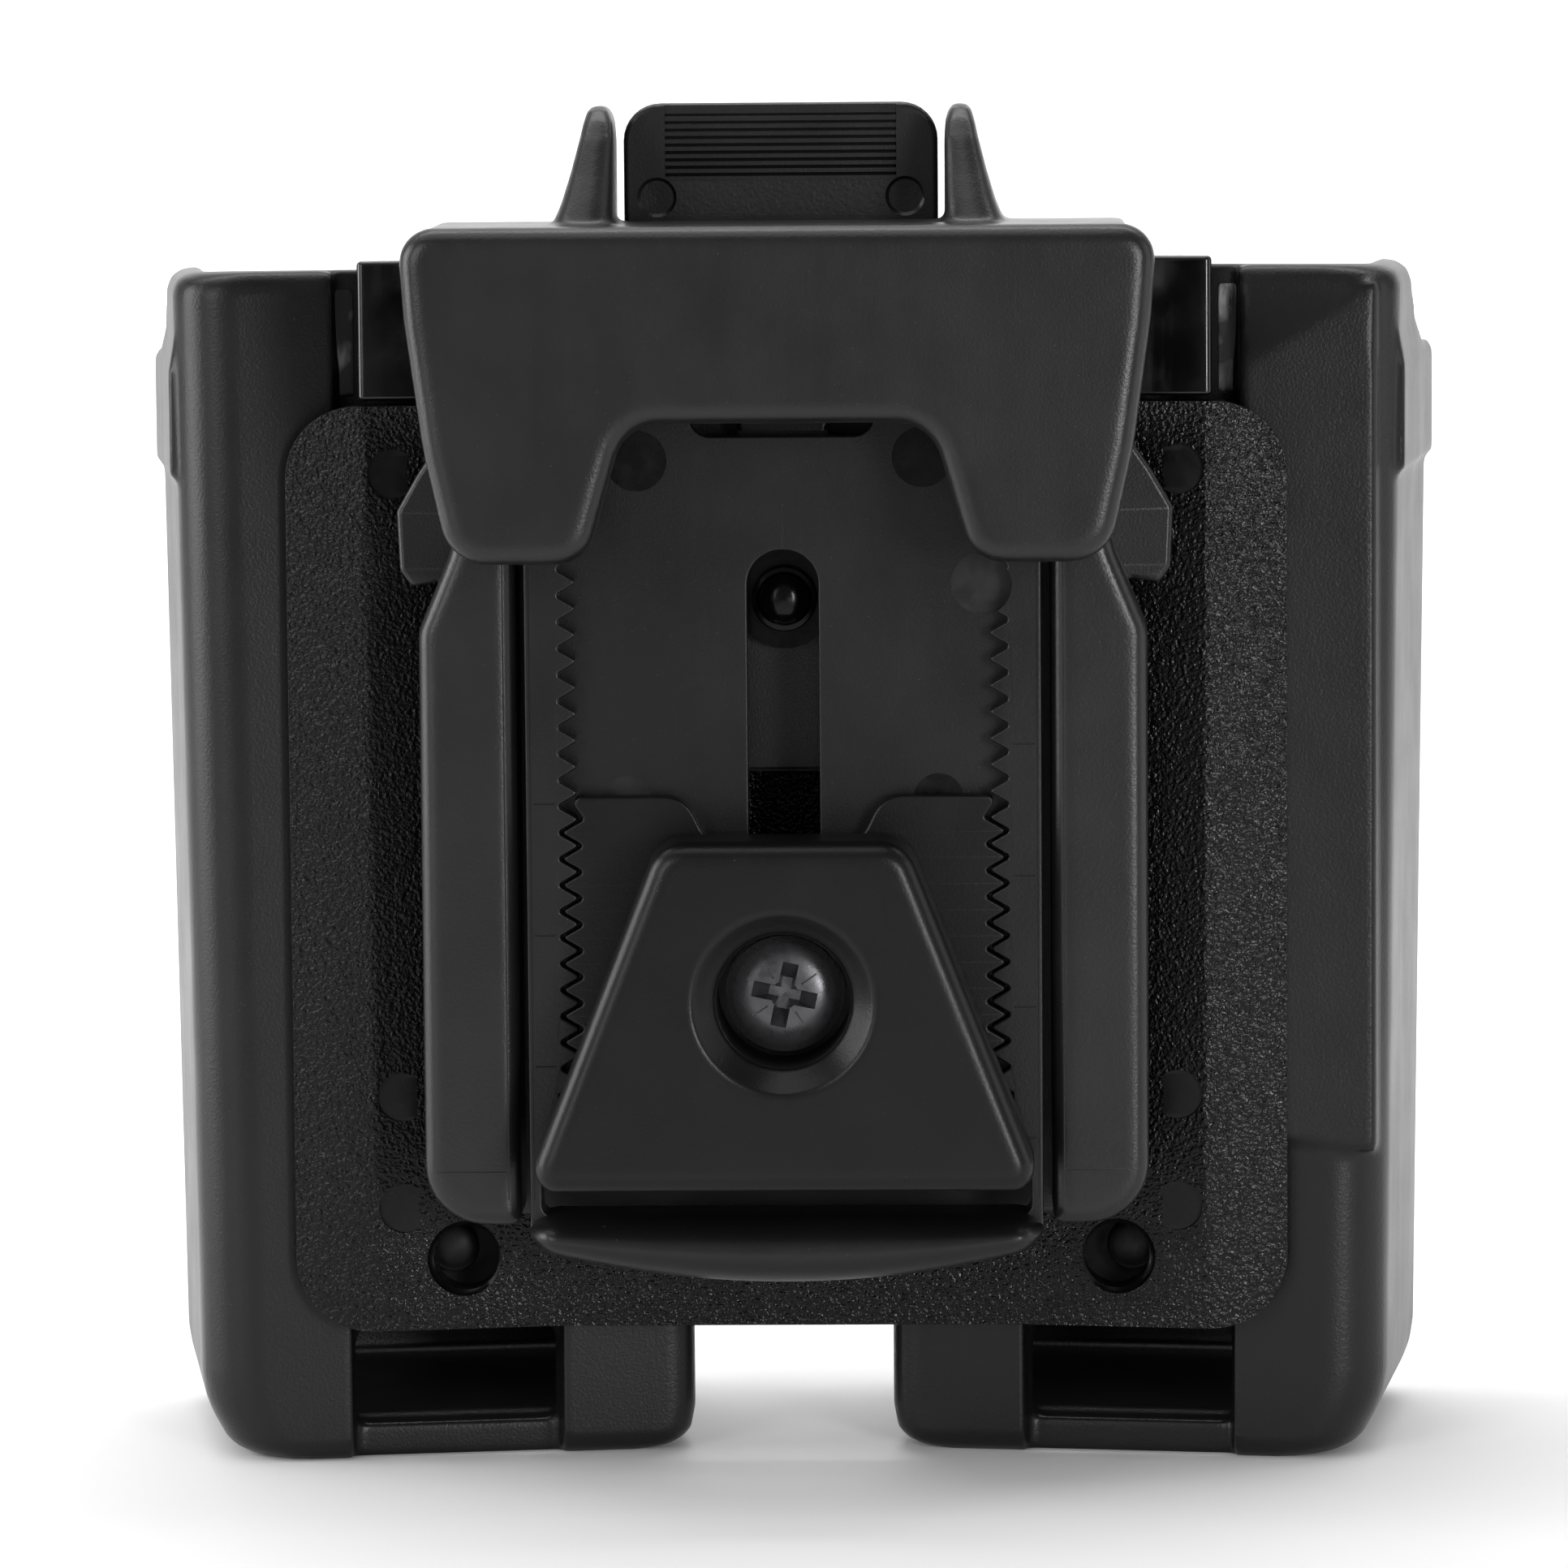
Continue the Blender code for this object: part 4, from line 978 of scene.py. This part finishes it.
def tongue():
    """The sprung panel: toothed strips, a recessed floor with the slot, and the finger lip."""
    low, high, half_width = 20.0, TONGUE_HIGH.z, TONGUE_HIGH.x
    panel = both_sides([(0, low), (19.5, low), (19.5, high, 1.0), (0, high)])
    edge = teeth(TOOTH_ROOT_X, TOOTH_TIP_X, *TONGUE_TEETH_Z)
    pocket_half = [(0, 26.0), (TOOTH_ROOT_X - 0.6, 26.0, 0.4), (TOOTH_ROOT_X, 27.0), *edge]
    pocket_half += [(TOOTH_ROOT_X - 1.2, 77.0), (12.6, 80.6), (10.2, 84.0, 1.0), (0, 84.0)]
    pocket = outline(mirrored(pocket_half), 3)
    slot = both_sides([(0, 29.5), (2.7, 29.5, 2.6), (2.7, 72.2, 2.6), (0, 72.2)])
    top_opening = both_sides([(0, 80.8), (7.0, 80.8, 1.6), (7.0, 86.5, 1.6), (0, 86.5)])
    lip_gap = both_sides([(0, 21.7), (18.6, 21.7, 0.8), (18.6, 25.2, 0.8), (0, 25.2)])
    body = front_plate("tongue_skin", [panel, slot, top_opening, lip_gap], POCKET_FACE, TONGUE_BACK, 0.15, 2)
    strips = front_plate("strips", [panel, pocket, lip_gap], STRIP_FACE, POCKET_FACE + 0.4, 0.16, 3)
    combine(body, [strips, finger_lip(half_width)])
    coat(body, PANEL_BLACK, MARK_BLACK, RUBBED_AND_SHEEN_BLACK)
    return body


# Material 2 is the lighter copy of the mark plastic. At (-11.9, 53.2) it is a painted sheen, lighter than its
# twin at (11.7, 53.3) only because that mark caught more light. At (15.0, 69.6) it is a rubbed patch.
PANEL_MARKS = [  # x, z, radius, and which of the panel's materials
    (-11.0, 79.0, 2.3, 1),
    (10.6, 79.2, 2.3, 1),
    (15.0, 69.6, 2.3, 2),
    (-11.9, 53.2, 1.9, 2),
    (11.7, 53.3, 1.9, 1),
]


def tongue_details(body):
    """Graduations, the mould's parting lines and the marks of the ejector pins."""
    near = STRIP_FACE - 1
    cutters = []
    for side, first, count in ((-1, 33.2, 3), (1, 27.6, 4)):
        for i in range(count):
            z = first + i * 5 * TOOTH_PITCH
            line = on_side(side, 17.35, 18.95)
            cutters.append(block("graduation", line, (near, STRIP_FACE + 0.14), (z - 0.07, z + 0.07)))
        x = side * 19.15
        cutters.append(block("parting_line", (x - 0.04, x + 0.04), (near, STRIP_FACE + 0.08), (23.0, 89.0)))
    for x, z, radius, index in PANEL_MARKS:
        cutters.append(ejector_mark(x, z, radius, POCKET_FACE, index, 0.05))
    combine(body, [], cutters)
    shade(body)
    finish_piece(body, "spring_panel", "tongue")


def jaw_block():
    """The jaw's soft-edged raised block, with the deep recess for its screw."""
    half = [(0, 51.05), (9.3, 51.05, 3.1), (18.9, 26.6, 2.4), (18.4, 24.55, 1.7), (0, 24.55)]
    lump = front_plate("jaw_block", [both_sides(half, 10)], JAW_FACE, STRIP_FACE - JAW_GAP, 1.6, 7)
    mouth = 7.2
    recess = [
        (0, JAW_FACE - 3),
        (mouth, JAW_FACE - 3),
        (mouth, JAW_FACE - 0.3),
        (5.9, JAW_FACE + 0.9, 1.2),
        (JAW_WELL, JAW_FACE + 1.6, 0.6),
        (JAW_WELL, JAW_WELL_FLOOR),
        (0, JAW_WELL_FLOOR),
    ]
    combine(lump, [], [turned("recess", rounded_profile(recess), 0, JAW_SCREW_Z)])
    skin(lump, 0.2, 4, keep=0.6)
    return lump


def jaw():
    """The toothed lower jaw, whose soft-edged block takes the belt's lower edge."""
    back = POCKET_FACE - 0.2
    clear = JAW_GAP + 0.1
    edge = teeth(TOOTH_ROOT_X - clear, TOOTH_TIP_X - clear, *JAW_TEETH_Z)
    notch = [(7.5, 53.7, 2.4), (5.9, 50.4, 1.6), (0, 50.4)]
    half = [(0, 31.5), (15.0, 31.5), *edge[1:-1], (16.3, 53.7, 0.5), *notch]
    body = front_plate("jaw_skin", [outline(mirrored(half), 4)], STRIP_FACE, back, 0.18, 3)
    neck_half = [(0, 32.5), (12.0, 32.5), (7.5, 50.0), (0, 50.0)]
    neck = front_plate("neck", [mirrored(neck_half)], STRIP_FACE - 2, back - 0.2)
    key = front_plate("key", [outline(slot_corners(2.4, 33.6, 44.2, 2))], back - 0.3, TONGUE_BACK - 0.1)
    well = rod("jaw_well", JAW_WELL, -30, JAW_WELL_FLOOR, 0, JAW_SCREW_Z)
    bore = rod("jaw_bore", JAW_BORE, -30, 0, 0, JAW_SCREW_Z)
    combine(body, [neck, jaw_block(), key], [well, bore])
    shade(body, 45)
    finish_piece(body, "lower_jaw", "jaw", JAW_SHADED_BLACK)


def driver_cutters(top):
    """The jaw screw's recess: four tapering arms, a small diagonal mark between each two, and the core."""
    centre = Matrix.Translation((0, 0, JAW_SCREW_Z * MM))
    levels = ((-1, 2.6, 0.72), (0.15, 2.45, 0.6), (1.5, 1.2, 0.36))  # depth below the top, reach, half width
    rings = []
    for below, reach, half in levels:
        y = top + below
        rings.append([(0, y, -half), (reach, y, -half), (reach, y, half), (0, y, half)])
    cutters = []
    for i in range(4):
        turn = centre @ Matrix.Rotation(i * pi / 2 + radians(12), 4, "Y")
        arm = loft("arm", rings)
        arm.data.transform(turn)
        mark = block("mark", (1.5, 2.9), (top - 1, top + 0.3), (-0.07, 0.07))
        mark.data.transform(turn @ Matrix.Rotation(pi / 4, 4, "Y"))
        cutters += [arm, mark]
    core = [(0, top - 1), (1.15, top - 1), (1.05, top + 0.3), (0.45, top + 1.5), (0, top + 1.6)]
    return [*cutters, turned("core", core, 0, JAW_SCREW_Z, 32)]


def jaw_screw():
    """A pan-head screw."""
    top, seat, tip = SCREW_LOW.y, -19.95, SCREW_HIGH.y
    head, shank = 4.35, 1.95
    profile = [
        (0, top),
        (3.2, top + 0.1, 5),
        (4.15, top + 0.75, 0.8),
        (head, seat - 0.6, 0.4),
        (head, seat),
        (shank, seat),
        (shank, tip - 0.3),
        (1.5, tip),
        (0, tip),
    ]
    body = turned("jaw_screw_skin", rounded_profile(profile, 8), 0, JAW_SCREW_Z, 96)
    combine(body, [], driver_cutters(top))
    shade(body)
    finish_piece(body, "clamp_screw", "jaw_screw", SCREW_BLACK)


# ---------------- stage


def stage():
    """A pale floor that sweeps up behind the object, painted a darker grey in front of it: painted shade that
    keeps the floor's light out of the object's lower front faces.
    """
    width, front, back, height, bend, steps = 1600, -900, 640, 1400, 300, 24
    path = [(front, 0.0), (back, 0.0)]
    for i in range(1, steps + 1):
        angle = pi / 2 * i / steps
        path.append((back + bend * sin(angle), bend * (1 - cos(angle))))
    path.append((back + bend, height))
    mesh = bpy.data.meshes.new("floor")
    points = [(x * MM, y * MM, z * MM) for y, z in path for x in (-width, width)]
    faces = [(2 * i, 2 * i + 1, 2 * i + 3, 2 * i + 2) for i in range(len(path) - 1)]
    mesh.from_pydata(points, [], faces)
    mesh.shade_smooth()
    floor = placed("floor", mesh)
    grey_until, pale_from = -420 * MM, -150 * MM
    made = Nodes("floor_paper", (0.86,) * 3, 0.75)
    paper = made.tint(made.noise(40.0), (0.84,) * 3, (0.87,) * 3)
    axes = made.add("SeparateXYZ", {"Vector": made.place})
    # The grey in front of the object is painted shade: it dims the floor light that reflects in the object's
    # lower faces.
    fade = made.remap(axes.outputs["Y"], grey_until, pale_from)
    made.use("Base Color", made.tint(fade, (0.34,) * 3, paper))
    floor.data.materials.append(made.material)


def softbox(name, place, aim, size, power):
    """A rectangular light at a place, turned to face aim."""
    light = bpy.data.lights.new(name, "AREA")
    light.shape = "RECTANGLE"
    light.size, light.size_y = size[0] * MM, size[1] * MM
    light.energy = power
    obj = placed(name, light)
    obj.location = Vector(place) * MM
    obj.rotation_euler = (Vector(aim) - Vector(place)).to_track_quat("-Z", "Y").to_euler()


def lights():
    """Soft boxes above, in front and at both sides, a lit backdrop, and a dim even surround."""
    middle = (0, 0, 50)
    softbox("overhead", (-60, 40, 800), middle, (900, 700), 3.0)
    softbox("front_left", (-440, -640, 260), middle, (300, 420), 1.7)
    softbox("front_right", (310, -600, 150), middle, (150, 220), 1.25)
    softbox("low_right", (225, -440, 60), (20, 0, 50), (60, 120), 0.3)
    softbox("side_left", (-560, -60, 120), middle, (300, 600), 3.6)
    softbox("side_right", (560, -60, 120), middle, (300, 600), 0.75)
    softbox("backdrop", (0, 180, 740), (0, 900, 320), (1300, 300), 11)
    world = bpy.data.worlds.new("studio")
    world.use_nodes = True
    background = world.node_tree.nodes["Background"]
    background.inputs["Color"].default_value = (1, 1, 1, 1)
    background.inputs["Strength"].default_value = 0.22
    bpy.context.scene.world = world


def camera():
    """A long lens, looking at TARGET."""
    turn, rise, roll = radians(CAMERA_TURN), radians(CAMERA_RISE), radians(CAMERA_ROLL)
    back = Vector((sin(turn) * cos(rise), -cos(turn) * cos(rise), sin(rise)))
    level = Vector((cos(turn), sin(turn), 0))
    upright = back.cross(level)
    right = cos(roll) * level + sin(roll) * upright
    up = cos(roll) * upright - sin(roll) * level
    data = bpy.data.cameras.new("camera")
    data.lens = LENS
    data.sensor_width = SENSOR
    data.clip_start = 0.01
    obj = placed("camera", data)
    place = (TARGET + back * CAMERA_DISTANCE) * MM
    obj.matrix_world = Matrix.Translation(place) @ Matrix((right, up, back)).transposed().to_4x4()
    bpy.context.scene.camera = obj


# ---------------- the whole


def dress_cad_nodes():
    """Better materials for the small CAD nodes that stay as they are."""
    finishes = {
        "detent_ring": SPRING_STEEL,
        "wave_washer": SPRING_STEEL,
        "nut_plate": SPRING_STEEL,
        "lever_pin": STEEL_BLACK,
        "pivot_washer": RIVET_BLACK,
        "jaw_washer": STEEL_BLACK,
    }
    for node, steel in finishes.items():
        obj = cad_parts[node]
        if not obj.material_slots:
            obj.data.materials.append(steel)
        for slot in obj.material_slots:
            slot.material = steel


def main():
    for side, word in SIDES.items():
        pouch(side)
        channel_lining(side)
        retention_leaf(side)
        for z, level in zip(PLATE_SCREW_Z, ("lower", "upper")):
            plate_screw(f"plate_screw_{level}_{word}", side, z)
    base_plate()
    carrier()
    pivot_rivet()
    clip_frame()
    back_plate()
    for number, (x, z) in enumerate(BACK_SCREWS, 1):
        back_screw(f"back_screw_{number}", x, z)
    release_lever()
    lever_spring()
    tongue_details(tongue())
    jaw()
    jaw_screw()
    dress_cad_nodes()
    stage()
    lights()
    camera()
    bpy.context.scene.view_settings.view_transform = "Standard"


main()
